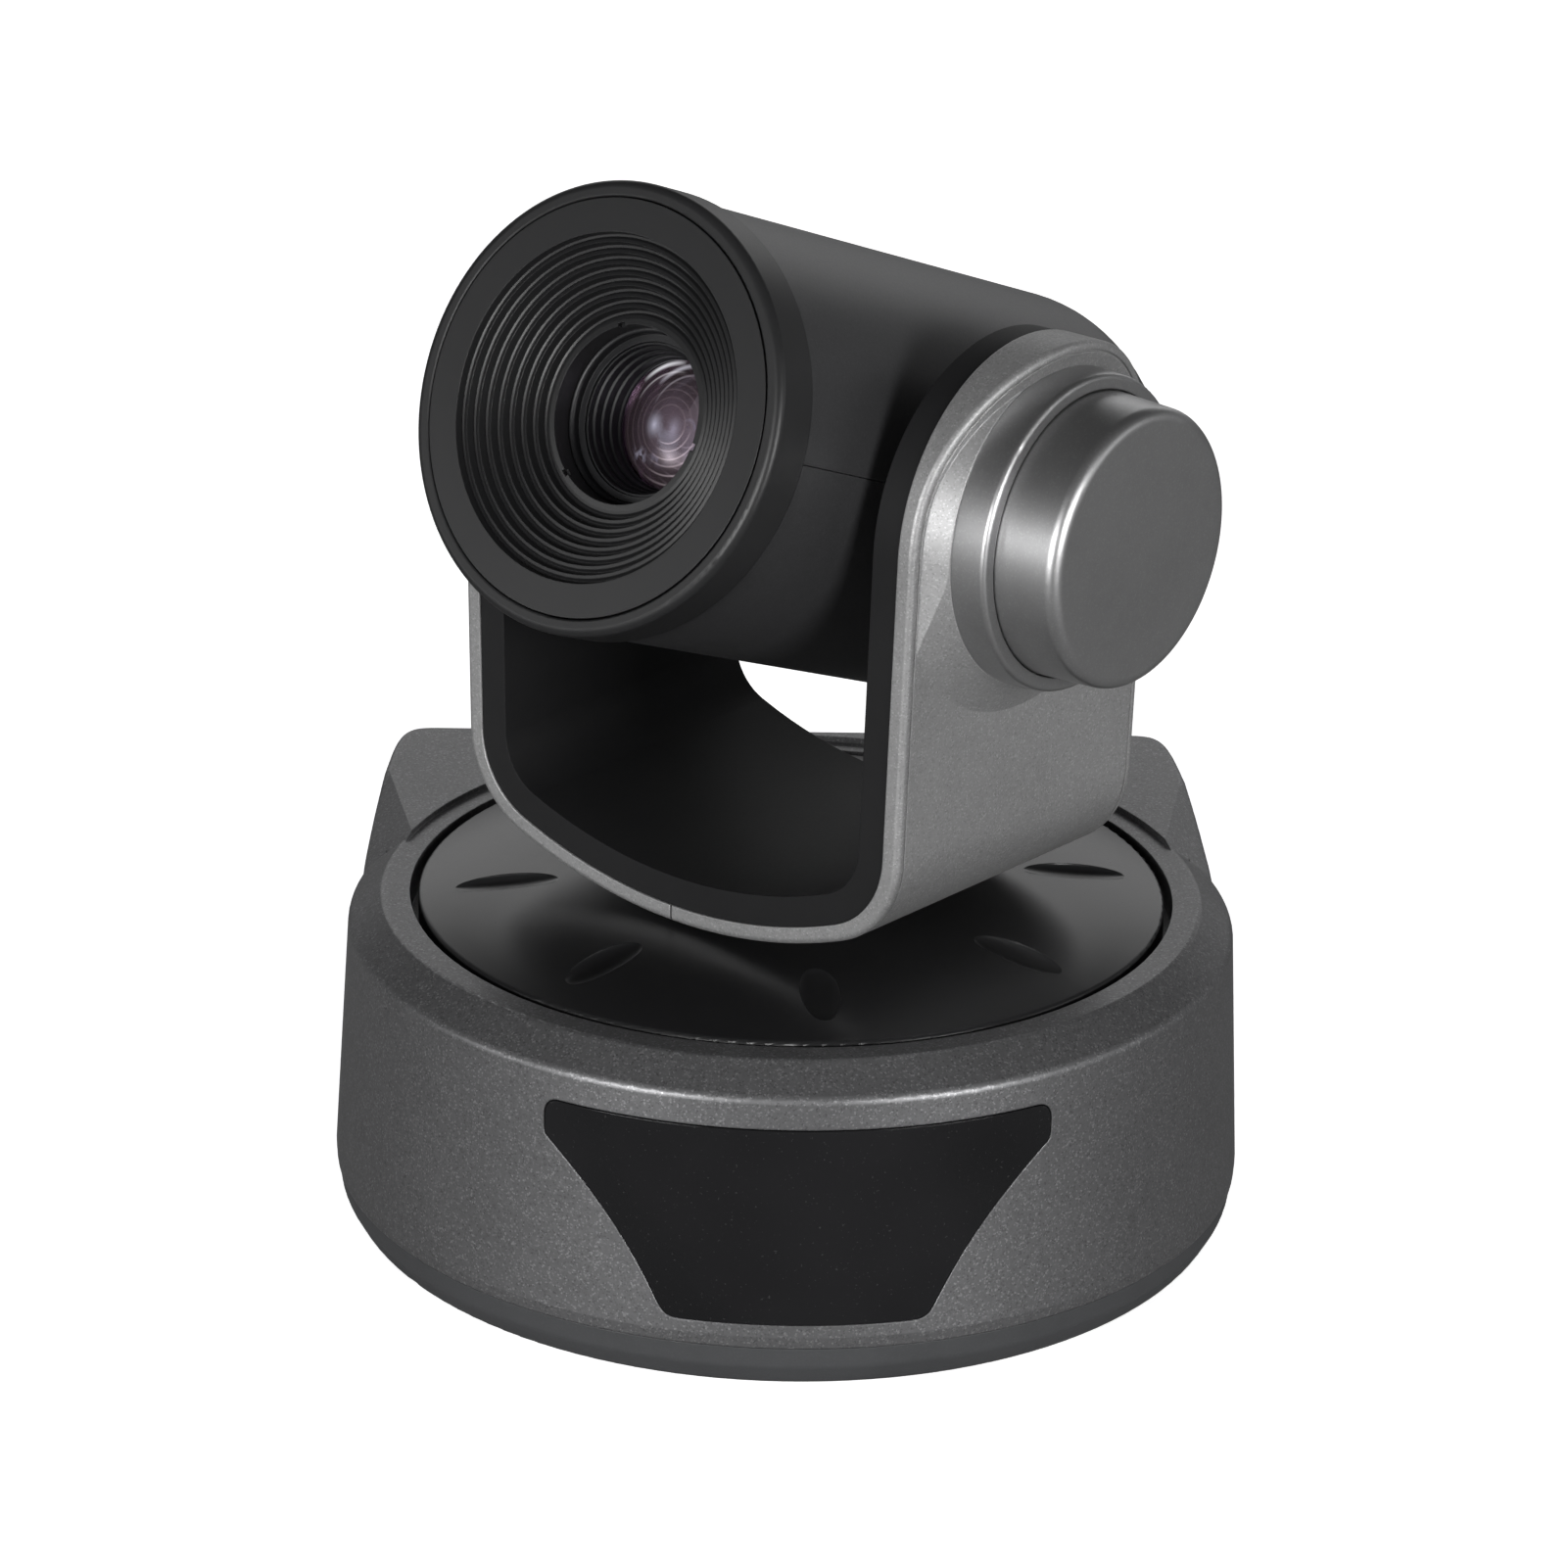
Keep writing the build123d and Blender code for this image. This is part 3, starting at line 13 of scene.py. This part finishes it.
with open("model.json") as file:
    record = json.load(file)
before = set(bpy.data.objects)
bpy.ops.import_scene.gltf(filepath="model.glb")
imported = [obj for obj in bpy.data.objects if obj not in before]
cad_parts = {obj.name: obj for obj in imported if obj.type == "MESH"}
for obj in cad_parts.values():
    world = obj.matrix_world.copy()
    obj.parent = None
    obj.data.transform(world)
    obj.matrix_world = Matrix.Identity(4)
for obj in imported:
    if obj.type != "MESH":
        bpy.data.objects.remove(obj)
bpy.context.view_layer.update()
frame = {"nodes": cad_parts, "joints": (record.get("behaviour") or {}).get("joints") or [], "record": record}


# ---- shader graphs ----
class Graph:
    """Node tree of a material or world; inputs take a socket or a plain value."""

    def __init__(self, owner, output="ShaderNodeOutputMaterial"):
        owner.use_nodes = True
        self.owner = owner
        self.tree = owner.node_tree
        self.tree.nodes.clear()
        self.output = self.tree.nodes.new(output)
        self.coords = self.node("ShaderNodeTexCoord").outputs

    def node(self, kind, inputs=None, **props):
        node = self.tree.nodes.new(kind)
        for key, value in props.items():
            setattr(node, key, value)
        for key, value in (inputs or {}).items():
            if isinstance(value, bpy.types.NodeSocket):
                self.tree.links.new(value, node.inputs[key])
            else:
                node.inputs[key].default_value = value
        return node

    def socket(self, kind, inputs=None, **props):
        """New node, returned as its first output."""
        return self.node(kind, inputs, **props).outputs[0]

    def math(self, operation, first, second=0.0, clamp=False):
        return self.socket("ShaderNodeMath", {0: first, 1: second},
                           operation=operation, use_clamp=clamp)

    def plus(self, first, second, clamp=False):
        return self.math("ADD", first, second, clamp)

    def times(self, first, second, clamp=False):
        return self.math("MULTIPLY", first, second, clamp)

    def dot(self, first, second):
        return self.node("ShaderNodeVectorMath", {0: first, 1: second},
                         operation="DOT_PRODUCT").outputs["Value"]

    def noise(self, scale, detail=2.0, rough=0.5, coords=None):
        return self.socket("ShaderNodeTexNoise", {
            "Vector": coords or self.coords["Object"], "Scale": scale,
            "Detail": detail, "Roughness": rough})

    def ramp(self, value, over, to=(0.0, 1.0), **props):
        """Clamped map of the range `over` onto the range `to`."""
        return self.socket("ShaderNodeMapRange", {
            "Value": value, "From Min": over[0], "From Max": over[1],
            "To Min": to[0], "To Max": to[1]}, clamp=True, **props)

    def mix(self, amount, first, second):
        return self.node("ShaderNodeMix", {0: amount, 6: first, 7: second},
                         data_type="RGBA", blend_type="MIX").outputs[2]

    def mix_shader(self, amount, first, second):
        return self.socket("ShaderNodeMixShader", {0: amount, 1: first, 2: second})

    def add_shader(self, first, second):
        return self.socket("ShaderNodeAddShader", {0: first, 1: second})

    def soft_normal(self, radius):
        return self.socket("ShaderNodeBevel", {"Radius": radius}, samples=4)

    def bump(self, height, strength, distance, normal=None):
        inputs = {"Strength": strength, "Distance": distance, "Height": height}
        if normal is not None:
            inputs["Normal"] = normal
        return self.socket("ShaderNodeBump", inputs)

    def surface(self, shader):
        self.tree.links.new(shader, self.output.inputs["Surface"])
        return self.owner


def material_graph(name):
    return Graph(bpy.data.materials.new(name))


def scaled(color, gain):
    """Colour times gain, capped at 1 and opaque."""
    return tuple(min(1, channel * gain) for channel in color[:3]) + (1.0,)


# ---- paint, moulded plastic and metal ----
def add_flakes(graph, color, base, amount, scale, gain):
    """Pale blotches, then bright and dark flakes picked from random cells."""
    blotches = graph.noise(scale=1100.0, detail=2.0, rough=0.5)
    cover = graph.ramp(blotches, over=(0.40, 0.66), to=(0.0, 0.5 * amount))
    color = graph.mix(cover, color, scaled(base, gain=1.35))
    cells = graph.node("ShaderNodeTexVoronoi", {
        "Vector": graph.coords["Object"], "Scale": scale}, feature="F1")
    random = graph.node("ShaderNodeSeparateColor", {0: cells.outputs["Color"]}).outputs
    bright = graph.ramp(random[0], over=(0.80, 1.0), to=(0.0, amount))
    color = graph.mix(bright, color, scaled(base, gain))
    dark = graph.ramp(random[1], over=(0.80, 1.0), to=(0.0, amount * 0.8))
    return graph.mix(dark, color, scaled(base, gain=0.35))


def finish(name, base, rough, metal=0.0, spec=0.5, grain=3200.0, bump=0.25, mottle=0.10,
           flake=0.0, flake_scale=5200.0, flake_gain=2.4, edge_wear_and_highlight=0.25, edge_wear_and_highlight_color=None,
           coat=0.0, coat_rough=0.12, bevel=0.00018, sheen=0.0, brushed=None):
    """Slow mottling, fine grain, optional flakes, and edges lightened partly as wear and partly as a painted
    edge highlight.

    grain and flake_scale are texture scales, bevel is a radius in metres, and
    brushed is the axis (0 to 2) along which the grain is drawn out.
    """
    rough_swing = 0.05  # grain moves the roughness this far each way
    graph = material_graph(name)
    slow = graph.noise(scale=55.0, detail=3.0, rough=0.55)
    mid = graph.noise(scale=420.0, detail=3.0, rough=0.6)
    color = graph.mix(graph.ramp(slow, over=(0.35, 0.65)),
                      scaled(base, 1.0 - mottle), scaled(base, 1.0 + mottle))
    color = graph.mix(graph.ramp(mid, over=(0.35, 0.68), to=(0.0, 0.35)),
                      color, scaled(base, 1.0 + 1.6 * mottle))
    if flake > 0:
        color = add_flakes(graph, color, base, flake, flake_scale, flake_gain)

    # An edge is where the rounded normal leaves the true one.
    soft = graph.soft_normal(bevel)
    geometry = graph.node("ShaderNodeNewGeometry")
    turn = graph.math("SUBTRACT", 1.0, graph.dot(soft, geometry.outputs["Normal"]))
    edge = graph.ramp(turn, over=(0.01, 0.22))
    edge = graph.times(edge, graph.ramp(mid, over=(0.3, 0.6), to=(0.45, 1.0)))
    # Edges lightened: partly wear, partly a painted highlight along rims and corners.
    color = graph.mix(graph.times(edge, edge_wear_and_highlight), color, edge_wear_and_highlight_color or scaled(base, gain=2.2))

    coords = graph.coords["Object"]
    if brushed is not None:
        stretch = [1.0, 1.0, 1.0]
        stretch[brushed] = 0.03
        coords = graph.socket("ShaderNodeMapping", {"Vector": coords, "Scale": stretch})
    fine = graph.noise(scale=grain, detail=2.0, rough=0.6, coords=coords)
    # Relief is four parts fine grain to one part mid mottling.
    height = graph.plus(graph.times(fine, 0.8), graph.times(mid, 0.2))
    relief = graph.bump(height, strength=bump, distance=0.00003, normal=soft)
    roughness = graph.plus(rough - rough_swing, graph.times(fine, 2 * rough_swing))
    # Worn edges are rubbed a little smoother.
    roughness = graph.plus(roughness, graph.times(edge, -0.06), clamp=True)
    return graph.surface(graph.socket("ShaderNodeBsdfPrincipled", {
        "Base Color": color, "Roughness": roughness, "Metallic": metal,
        "Specular IOR Level": spec, "Normal": relief, "Coat Weight": coat,
        "Coat Roughness": coat_rough, "Sheen Weight": sheen}))


# The edge lightening settings give both wear and a painted edge highlight; head_grey has the strongest,
# along its front rim.
FINISHES = {
    "shell_grey": dict(base=(0.128, 0.128, 0.131), rough=0.42, metal=0.70, flake=0.62,
                       flake_scale=4300.0, mottle=0.06, edge_wear_and_highlight=0.35, bevel=0.0003, coat=0.05),
    "yoke_grey": dict(base=(0.262, 0.262, 0.263), rough=0.50, metal=0.60, flake=0.42,
                      flake_gain=1.9, flake_scale=4600.0, mottle=0.05, edge_wear_and_highlight=0.45,
                      bevel=0.0003),
    "hub_grey": dict(base=(0.335, 0.335, 0.338), rough=0.38, metal=0.92, flake=0.10,
                     mottle=0.05, edge_wear_and_highlight=0.6, bevel=0.00035, bump=0.08),
    "cover_grey": dict(base=(0.040, 0.041, 0.043), rough=0.5, flake=0.15, grain=2200.0,
                       bump=0.4),
    "disc_black": dict(base=(0.010, 0.010, 0.0105), rough=0.30, mottle=0.08, bump=0.14,
                       edge_wear_and_highlight=0.15, bevel=0.0002),
    "liner_black": dict(base=(0.0075, 0.0075, 0.008), rough=0.6, spec=0.2, grain=2600.0,
                        bump=0.35, edge_wear_and_highlight=0.3),
    "head_grey": dict(base=(0.036, 0.036, 0.0375), rough=0.42, metal=0.35, flake=0.28,
                      flake_gain=1.9, mottle=0.06, edge_wear_and_highlight=0.75, bevel=0.0004, spec=0.45),
    "bezel_black": dict(base=(0.0125, 0.0125, 0.013), rough=0.40, mottle=0.08, edge_wear_and_highlight=0.35,
                        bevel=0.0002, bump=0.16, spec=0.30),
    "surround_black": dict(base=(0.0105, 0.0105, 0.011), rough=0.34, mottle=0.06,
                           edge_wear_and_highlight=0.30, bevel=0.00015, bump=0.02, spec=0.34),
    "barrel_black": dict(base=(0.009, 0.009, 0.010), rough=0.42, metal=0.35, bump=0.12,
                         edge_wear_and_highlight_color=(0.06, 0.06, 0.065, 1)),
    "rubber": dict(base=(0.018, 0.018, 0.018), rough=0.8, grain=1800.0, bump=0.5,
                   sheen=0.15, edge_wear_and_highlight=0.1),
    "steel": dict(base=(0.50, 0.50, 0.51), rough=0.26, metal=1.0, brushed=2, bump=0.2,
                  mottle=0.05, edge_wear_and_highlight_color=(0.75, 0.75, 0.76, 1)),
    "alloy": dict(base=(0.56, 0.57, 0.58), rough=0.46, metal=1.0, grain=1500.0, bump=0.35,
                  mottle=0.08, edge_wear_and_highlight_color=(0.75, 0.75, 0.76, 1)),
    "brass": dict(base=(0.72, 0.52, 0.22), rough=0.28, metal=1.0, brushed=1, bump=0.2,
                  mottle=0.08, edge_wear_and_highlight_color=(0.85, 0.68, 0.36, 1)),
    "gear_plastic": dict(base=(0.72, 0.70, 0.62), rough=0.42, mottle=0.05,
                         edge_wear_and_highlight_color=(0.86, 0.85, 0.8, 1), sheen=0.05),
    "motor_steel": dict(base=(0.44, 0.44, 0.45), rough=0.32, metal=1.0, brushed=0,
                        mottle=0.07, edge_wear_and_highlight_color=(0.7, 0.7, 0.7, 1)),
    "connector_black": dict(base=(0.018, 0.018, 0.019), rough=0.45, grain=2400.0,
                            bump=0.35),
    "connector_steel": dict(base=(0.55, 0.55, 0.56), rough=0.24, metal=1.0, brushed=1,
                            bump=0.15, mottle=0.05, edge_wear_and_highlight_color=(0.8, 0.8, 0.8, 1)),
    "dark_resin": dict(base=(0.025, 0.010, 0.022), rough=0.12, bump=0.05, coat=0.6,
                       coat_rough=0.05),
    "lamp_blue": dict(base=(0.25, 0.45, 0.85), rough=0.14, bump=0.05, coat=0.6,
                      coat_rough=0.05, edge_wear_and_highlight=0.1),
    "cable": dict(base=(0.70, 0.69, 0.64), rough=0.4, grain=1200.0, brushed=2, bump=0.3,
                  edge_wear_and_highlight=0.1),
}


# ---- circuit board and window ----
def board(name):
    """Green board with paler raised tracks."""
    graph = material_graph(name)
    mottle = graph.noise(scale=300.0, detail=4.0, rough=0.6)
    wave = graph.node("ShaderNodeTexWave", {
        "Vector": graph.coords["Object"], "Scale": 160.0, "Distortion": 9.0,
        "Detail": 3.0, "Detail Scale": 2.0}).outputs[1]
    tracks = graph.ramp(wave, over=(0.62, 0.70))
    track_cover = 0.6
    color = graph.mix(graph.ramp(mottle, over=(0.3, 0.7)),
                      (0.010, 0.075, 0.030, 1), (0.016, 0.110, 0.045, 1))
    color = graph.mix(graph.times(tracks, track_cover), color, (0.035, 0.20, 0.09, 1))
    return graph.surface(graph.socket("ShaderNodeBsdfPrincipled", {
        "Base Color": color,
        "Roughness": graph.ramp(mottle, over=(0.3, 0.7), to=(0.28, 0.42)),
        "Normal": graph.bump(tracks, strength=0.3, distance=0.00004),
        "Coat Weight": 0.4, "Coat Roughness": 0.2}))


def window(name):
    """Dark gloss plastic with a faint ripple and dust specks."""
    graph = material_graph(name)
    slow = graph.noise(scale=38.0)
    dust = graph.noise(scale=2600.0, detail=1.0)
    ripple = graph.noise(scale=240.0)
    color = graph.mix(graph.ramp(slow, over=(0.35, 0.65)),
                      (0.0070, 0.0070, 0.0075, 1), (0.0095, 0.0095, 0.0102, 1))
    specks = graph.ramp(dust, over=(0.70, 0.78), to=(0.0, 0.35))
    color = graph.mix(specks, color, (0.06, 0.06, 0.06, 1))
    relief = graph.bump(ripple, strength=0.05, distance=0.00005,
                        normal=graph.soft_normal(radius=0.00025))
    speck_rough = 0.2
    roughness = graph.plus(graph.ramp(slow, over=(0.3, 0.7), to=(0.10, 0.15)),
                           graph.times(specks, speck_rough))
    return graph.surface(graph.socket("ShaderNodeBsdfPrincipled", {
        "Base Color": color, "Roughness": roughness, "Normal": relief,
        "Specular IOR Level": 0.24, "Coat Weight": 0.08, "Coat Roughness": 0.06}))


# ---- coated lenses ----
def joint(name):
    return next(item for item in frame["joints"] if item["name"] == name)


LENS_AXIS = Vector(joint("zoom_slide")["axis"]).normalized()
LENS_CENTRE = tuple(joint("tilt")["pos_m"])

# Faint painted reflection rings in the glass, standing in for the edges of inner elements: radius and half
# width in metres, strength.
LENS_RING_REFLECTIONS = (
    (0.0093, 0.00030, 0.5), (0.0080, 0.00022, 0.6), (0.0068, 0.00018, 0.8),
    (0.0056, 0.00018, 0.7), (0.0047, 0.00016, 1.0), (0.0036, 0.00016, 0.8),
    (0.0026, 0.00016, 1.0),
)


class LensGraph(Graph):
    """Graph that knows the place across the optical axis, in metres."""

    def __init__(self, owner):
        super().__init__(owner)
        side = Vector((-LENS_AXIS.y, LENS_AXIS.x, 0)).normalized()
        up = LENS_AXIS.cross(side)
        offset = self.socket("ShaderNodeVectorMath", {
            0: self.coords["Object"], 1: LENS_CENTRE}, operation="SUBTRACT")
        self.x = self.dot(offset, tuple(side))
        self.y = self.dot(offset, tuple(up))
        self.radius = self.length(self.x, self.y)

    def length(self, x, y):
        return self.math("SQRT", self.plus(self.times(x, x), self.times(y, y)))

    def band(self, radius, width):
        """Thin ring, fading to 0 at width on both sides of its radius."""
        away = self.math("ABSOLUTE", self.math("SUBTRACT", self.radius, radius))
        return self.ramp(away, over=(0.0, width), to=(1.0, 0.0))

    def spot(self, centre, reach):
        """Soft oval patch, 1 at its centre and 0 beyond its half widths."""
        x, y = (self.times(self.math("SUBTRACT", place, middle), 1.0 / half)
                for place, middle, half in zip((self.x, self.y), centre, reach))
        fade = self.ramp(self.length(x, y), over=(0.0, 1.0), to=(1.0, 0.0))
        return self.times(fade, fade)

    def sector(self, degrees, start):
        """Fade around one direction from x towards y, from 0 at cosine start to 1."""
        angle = math.radians(degrees)
        along = self.plus(self.times(self.x, math.cos(angle)),
                          self.times(self.y, math.sin(angle)))
        floor_radius = 1e-5  # avoids dividing by zero on the axis
        cosine = self.math("DIVIDE", along, self.math("MAXIMUM", self.radius, floor_radius))
        return self.ramp(cosine, over=(start, 1.0))


def add_painted_highlights(graph, shader, ring_reflections):
    """Painted highlights and painted reflections, emitted as glowing arcs and ghost patches like those of
    stacked elements.
    """
    ring_share, fan_share = 0.30, 0.09
    # Painted highlights, each as mask, colour, strength: a white crescent at the upper left, a fainter arc,
    # pink arcs on the rings, a bluish spot, a pink spot, lavender wisps and a broad pink fan.
    painted_highlights = (
        (graph.times(graph.band(radius=0.0084, width=0.00045),
                     graph.sector(degrees=122.0, start=0.90)), (0.95, 0.95, 1.0, 1), 0.75),
        (graph.times(graph.band(radius=0.0071, width=0.00022),
                     graph.sector(degrees=128.0, start=0.80)), (0.9, 0.85, 0.9, 1), 0.32),
        (graph.times(graph.times(ring_reflections, graph.sector(degrees=-58.0, start=0.55)),
                     ring_share), (0.85, 0.72, 0.78, 1), 1.0),
        (graph.spot(centre=(-0.0024, -0.0006), reach=(0.0019, 0.0024)),
         (0.78, 0.80, 1.0, 1), 0.42),
        (graph.spot(centre=(0.0012, -0.0042), reach=(0.0030, 0.0020)),
         (1.0, 0.86, 0.92, 1), 0.34),
        (graph.times(graph.spot(centre=(-0.0040, -0.0050), reach=(0.0028, 0.0016)),
                     graph.ramp(graph.noise(scale=900.0), over=(0.48, 0.62))),
         (0.75, 0.74, 0.95, 1), 0.30),
        (graph.times(graph.spot(centre=(0.0010, -0.0010), reach=(0.0085, 0.0090)),
                     fan_share), (0.75, 0.55, 0.66, 1), 1.0),
    )
    for mask, color, strength in painted_highlights:
        # Each painted highlight glows as emitted light on the lens.
        glow = graph.socket("ShaderNodeEmission", {
            "Color": color, "Strength": graph.times(mask, strength)})
        shader = graph.add_shader(shader, glow)
    return shader


def glass(name, tint, haze_share, film, rough, painted_highlights):
    """See-through body with haze carrying painted reflection rings, under a tinted mirror film, plus
    optional painted highlights.
    """
    graph = LensGraph(bpy.data.materials.new(name))
    cloud = graph.noise(scale=140.0)
    through = graph.socket("ShaderNodeBsdfTransparent", {"Color": tint})
    ring_reflections = 0.0
    for radius, width, strength in LENS_RING_REFLECTIONS:
        ring_reflections = graph.plus(ring_reflections, graph.times(graph.band(radius, width), strength))
    haze = graph.mix(graph.ramp(cloud, over=(0.35, 0.68)),
                     (0.040, 0.030, 0.034, 1), (0.085, 0.062, 0.080, 1))
    haze = graph.mix(graph.ramp(graph.radius, over=(0.003, 0.0092)),
                     haze, (0.045, 0.034, 0.036, 1))
    # Painted reflection rings: paler pink arcs mixed into the haze colour.
    haze = graph.mix(graph.ramp(ring_reflections, over=(0.0, 1.0), to=(0.0, 0.45)),
                     haze, (0.30, 0.235, 0.26, 1))
    body = graph.socket("ShaderNodeBsdfDiffuse", {"Color": haze})
    cover = graph.ramp(graph.radius, over=(0.0, 0.0100), to=(0.62, 0.42))
    inner = graph.mix_shader(graph.times(cover, haze_share), through, body)
    fresnel = graph.socket("ShaderNodeFresnel", {"IOR": 1.42})
    coating = graph.mix(graph.ramp(graph.radius, over=(0.002, 0.0098)),
                        (0.72, 0.78, 1.0, 1), (1.0, 0.80, 0.92, 1))
    gloss = graph.socket("ShaderNodeBsdfGlossy", {"Color": coating, "Roughness": rough})
    shader = graph.mix_shader(graph.times(fresnel, film, clamp=True), inner, gloss)
    if painted_highlights:
        shader = add_painted_highlights(graph, shader, ring_reflections)
    return graph.surface(shader)


materials = {name: finish(name, **look) for name, look in FINISHES.items()}
materials["board_green"] = board("board_green")
materials["window_black"] = window("window_black")
# The front lens carries the painted highlights; the inner lenses do not.
materials["optical_glass"] = glass("optical_glass", tint=(0.90, 0.88, 0.94, 1),
                                   haze_share=0.80, film=0.9, rough=0.17, painted_highlights=True)
materials["inner_glass"] = glass("inner_glass", tint=(0.80, 0.74, 0.86, 1),
                                 haze_share=0.8, film=1.2, rough=0.22, painted_highlights=False)

# Pieces whose finish differs from their recorded slot.
OVERRIDES = {"hub_cap": "hub_grey", "hub_collar": "hub_grey", "zoom_lens": "inner_glass",
             "focus_lens": "inner_glass", "lens_surround": "surround_black"}
slots = {part["node"]: part["material_slot"] for part in frame["record"]["subparts"]}
for name, piece in frame["nodes"].items():
    piece.data.materials.clear()
    piece.data.materials.append(materials[OVERRIDES.get(name, slots[name])])


# ---- floor ----
def floor_material():
    """Nearly white to the camera, but dim in what it bounces onto the object."""
    graph = material_graph("floor_pale")
    slow = graph.noise(scale=9.0, detail=4.0, rough=0.6)
    fine = graph.noise(scale=900.0, detail=2.0, rough=0.6)
    color = graph.mix(graph.ramp(slow, over=(0.3, 0.7)),
                      (0.86, 0.86, 0.865, 1), (0.89, 0.89, 0.89, 1))
    relief = graph.bump(fine, strength=0.08, distance=0.0001)
    matt = graph.socket("ShaderNodeBsdfDiffuse", {"Color": color, "Normal": relief})
    dim = graph.socket("ShaderNodeBsdfDiffuse", {"Color": (0.27, 0.27, 0.27, 1)})
    rays = graph.node("ShaderNodeLightPath").outputs
    glow = graph.socket("ShaderNodeEmission", {"Color": WHITE, "Strength": 0.78})
    pale = graph.add_shader(matt, glow)
    return graph.surface(graph.mix_shader(rays["Is Camera Ray"], dim, pale))


floor_look = floor_material()
bpy.ops.mesh.primitive_plane_add(size=8.0, location=(0, 0, -0.0001))
floor = bpy.context.object
floor.name = "floor"
floor.data.materials.append(floor_look)


# ---- world ----
def build_world():
    """White to the camera; lights from low down, less from the front and the left."""
    world = bpy.data.worlds.new("studio")
    bpy.context.scene.world = world
    graph = Graph(world, output="ShaderNodeOutputWorld")
    backdrop = graph.socket("ShaderNodeBackground", {"Color": WHITE, "Strength": 1.0})
    direction = graph.node("ShaderNodeSeparateXYZ", {0: graph.coords["Generated"]}).outputs

    def fade(axis, over, to):
        return graph.ramp(direction[axis], over, to, interpolation_type="SMOOTHSTEP")

    low = fade("Z", over=(0.08, 0.55), to=(1.0, 0.03))
    front = fade("Y", over=(-0.75, 0.25), to=(0.75, 1.0))
    left = fade("X", over=(-0.95, -0.25), to=(0.35, 1.0))
    peak = 0.32
    strength = graph.times(graph.times(graph.times(low, front), left), peak)
    surround = graph.socket("ShaderNodeBackground", {
        "Color": (0.98, 0.985, 1.0, 1), "Strength": strength})
    rays = graph.node("ShaderNodeLightPath").outputs
    graph.surface(graph.mix_shader(rays["Is Camera Ray"], surround, backdrop))


build_world()


# ---- lights ----
def softbox(name, place, aim, width, height, power):
    light = bpy.data.lights.new(name, "AREA")
    light.shape = "RECTANGLE"
    light.size, light.size_y = width, height
    light.energy = power
    lamp = bpy.data.objects.new(name, light)
    bpy.context.scene.collection.objects.link(lamp)
    lamp.location = place
    toward = Vector(aim) - Vector(place)
    lamp.rotation_euler = toward.to_track_quat("-Z", "Y").to_euler()
    return lamp


overhead = softbox("overhead", place=(0.0, 0.1, 1.7), aim=(0, 0, 0.0),
                   width=2.2, height=2.0, power=6.0)
overhead.visible_glossy = False

# Name, place, aim point, width, height (metres), power (watts).
SOFTBOXES = (
    ("front_left", (-0.95, -1.30, 0.36), (0, 0, 0.04), 0.7, 0.45, 24.0),
    ("front_right", (0.95, -1.30, 0.36), (0, 0, 0.04), 0.7, 0.45, 22.0),
    ("right_side", (1.4, -0.2, 0.35), (0, 0, 0.09), 0.5, 0.5, 1.0),
    ("left_low", (-1.45, -0.34, 0.20), (0, 0, 0.10), 0.55, 0.45, 2.8),
    ("back_low", (0.1, 1.4, 0.60), (0, 0, 0.08), 1.8, 0.5, 3.0),
)
for box in SOFTBOXES:
    softbox(*box)

# ---- camera ----
ROLL = math.radians(1.24)
BACK = Vector((-0.02589, -0.92677, 0.37473)).normalized()  # from target to camera
LEVEL = Vector((0.99961, -0.02792, 0.0)).normalized()  # to the right, before the roll
TARGET = Vector((-1.3535, 0.0378, 63.52)) * MM
DISTANCE = 0.8247

upright = BACK.cross(LEVEL)
right = LEVEL * math.cos(ROLL) + upright * math.sin(ROLL)
up = -LEVEL * math.sin(ROLL) + upright * math.cos(ROLL)
place = TARGET + BACK * DISTANCE
camera_data = bpy.data.cameras.new("camera")
camera_data.sensor_width = 36.0
camera_data.lens = 135.8
camera_data.clip_start = 0.01
camera = bpy.data.objects.new("camera", camera_data)
bpy.context.scene.collection.objects.link(camera)
rows = [tuple(row) for row in zip(right, up, BACK, place)]
camera.matrix_world = Matrix((*rows, (0, 0, 0, 1)))
bpy.context.scene.camera = camera
bpy.context.scene.view_settings.view_transform = "Standard"
bpy.context.scene.view_settings.look = "None"
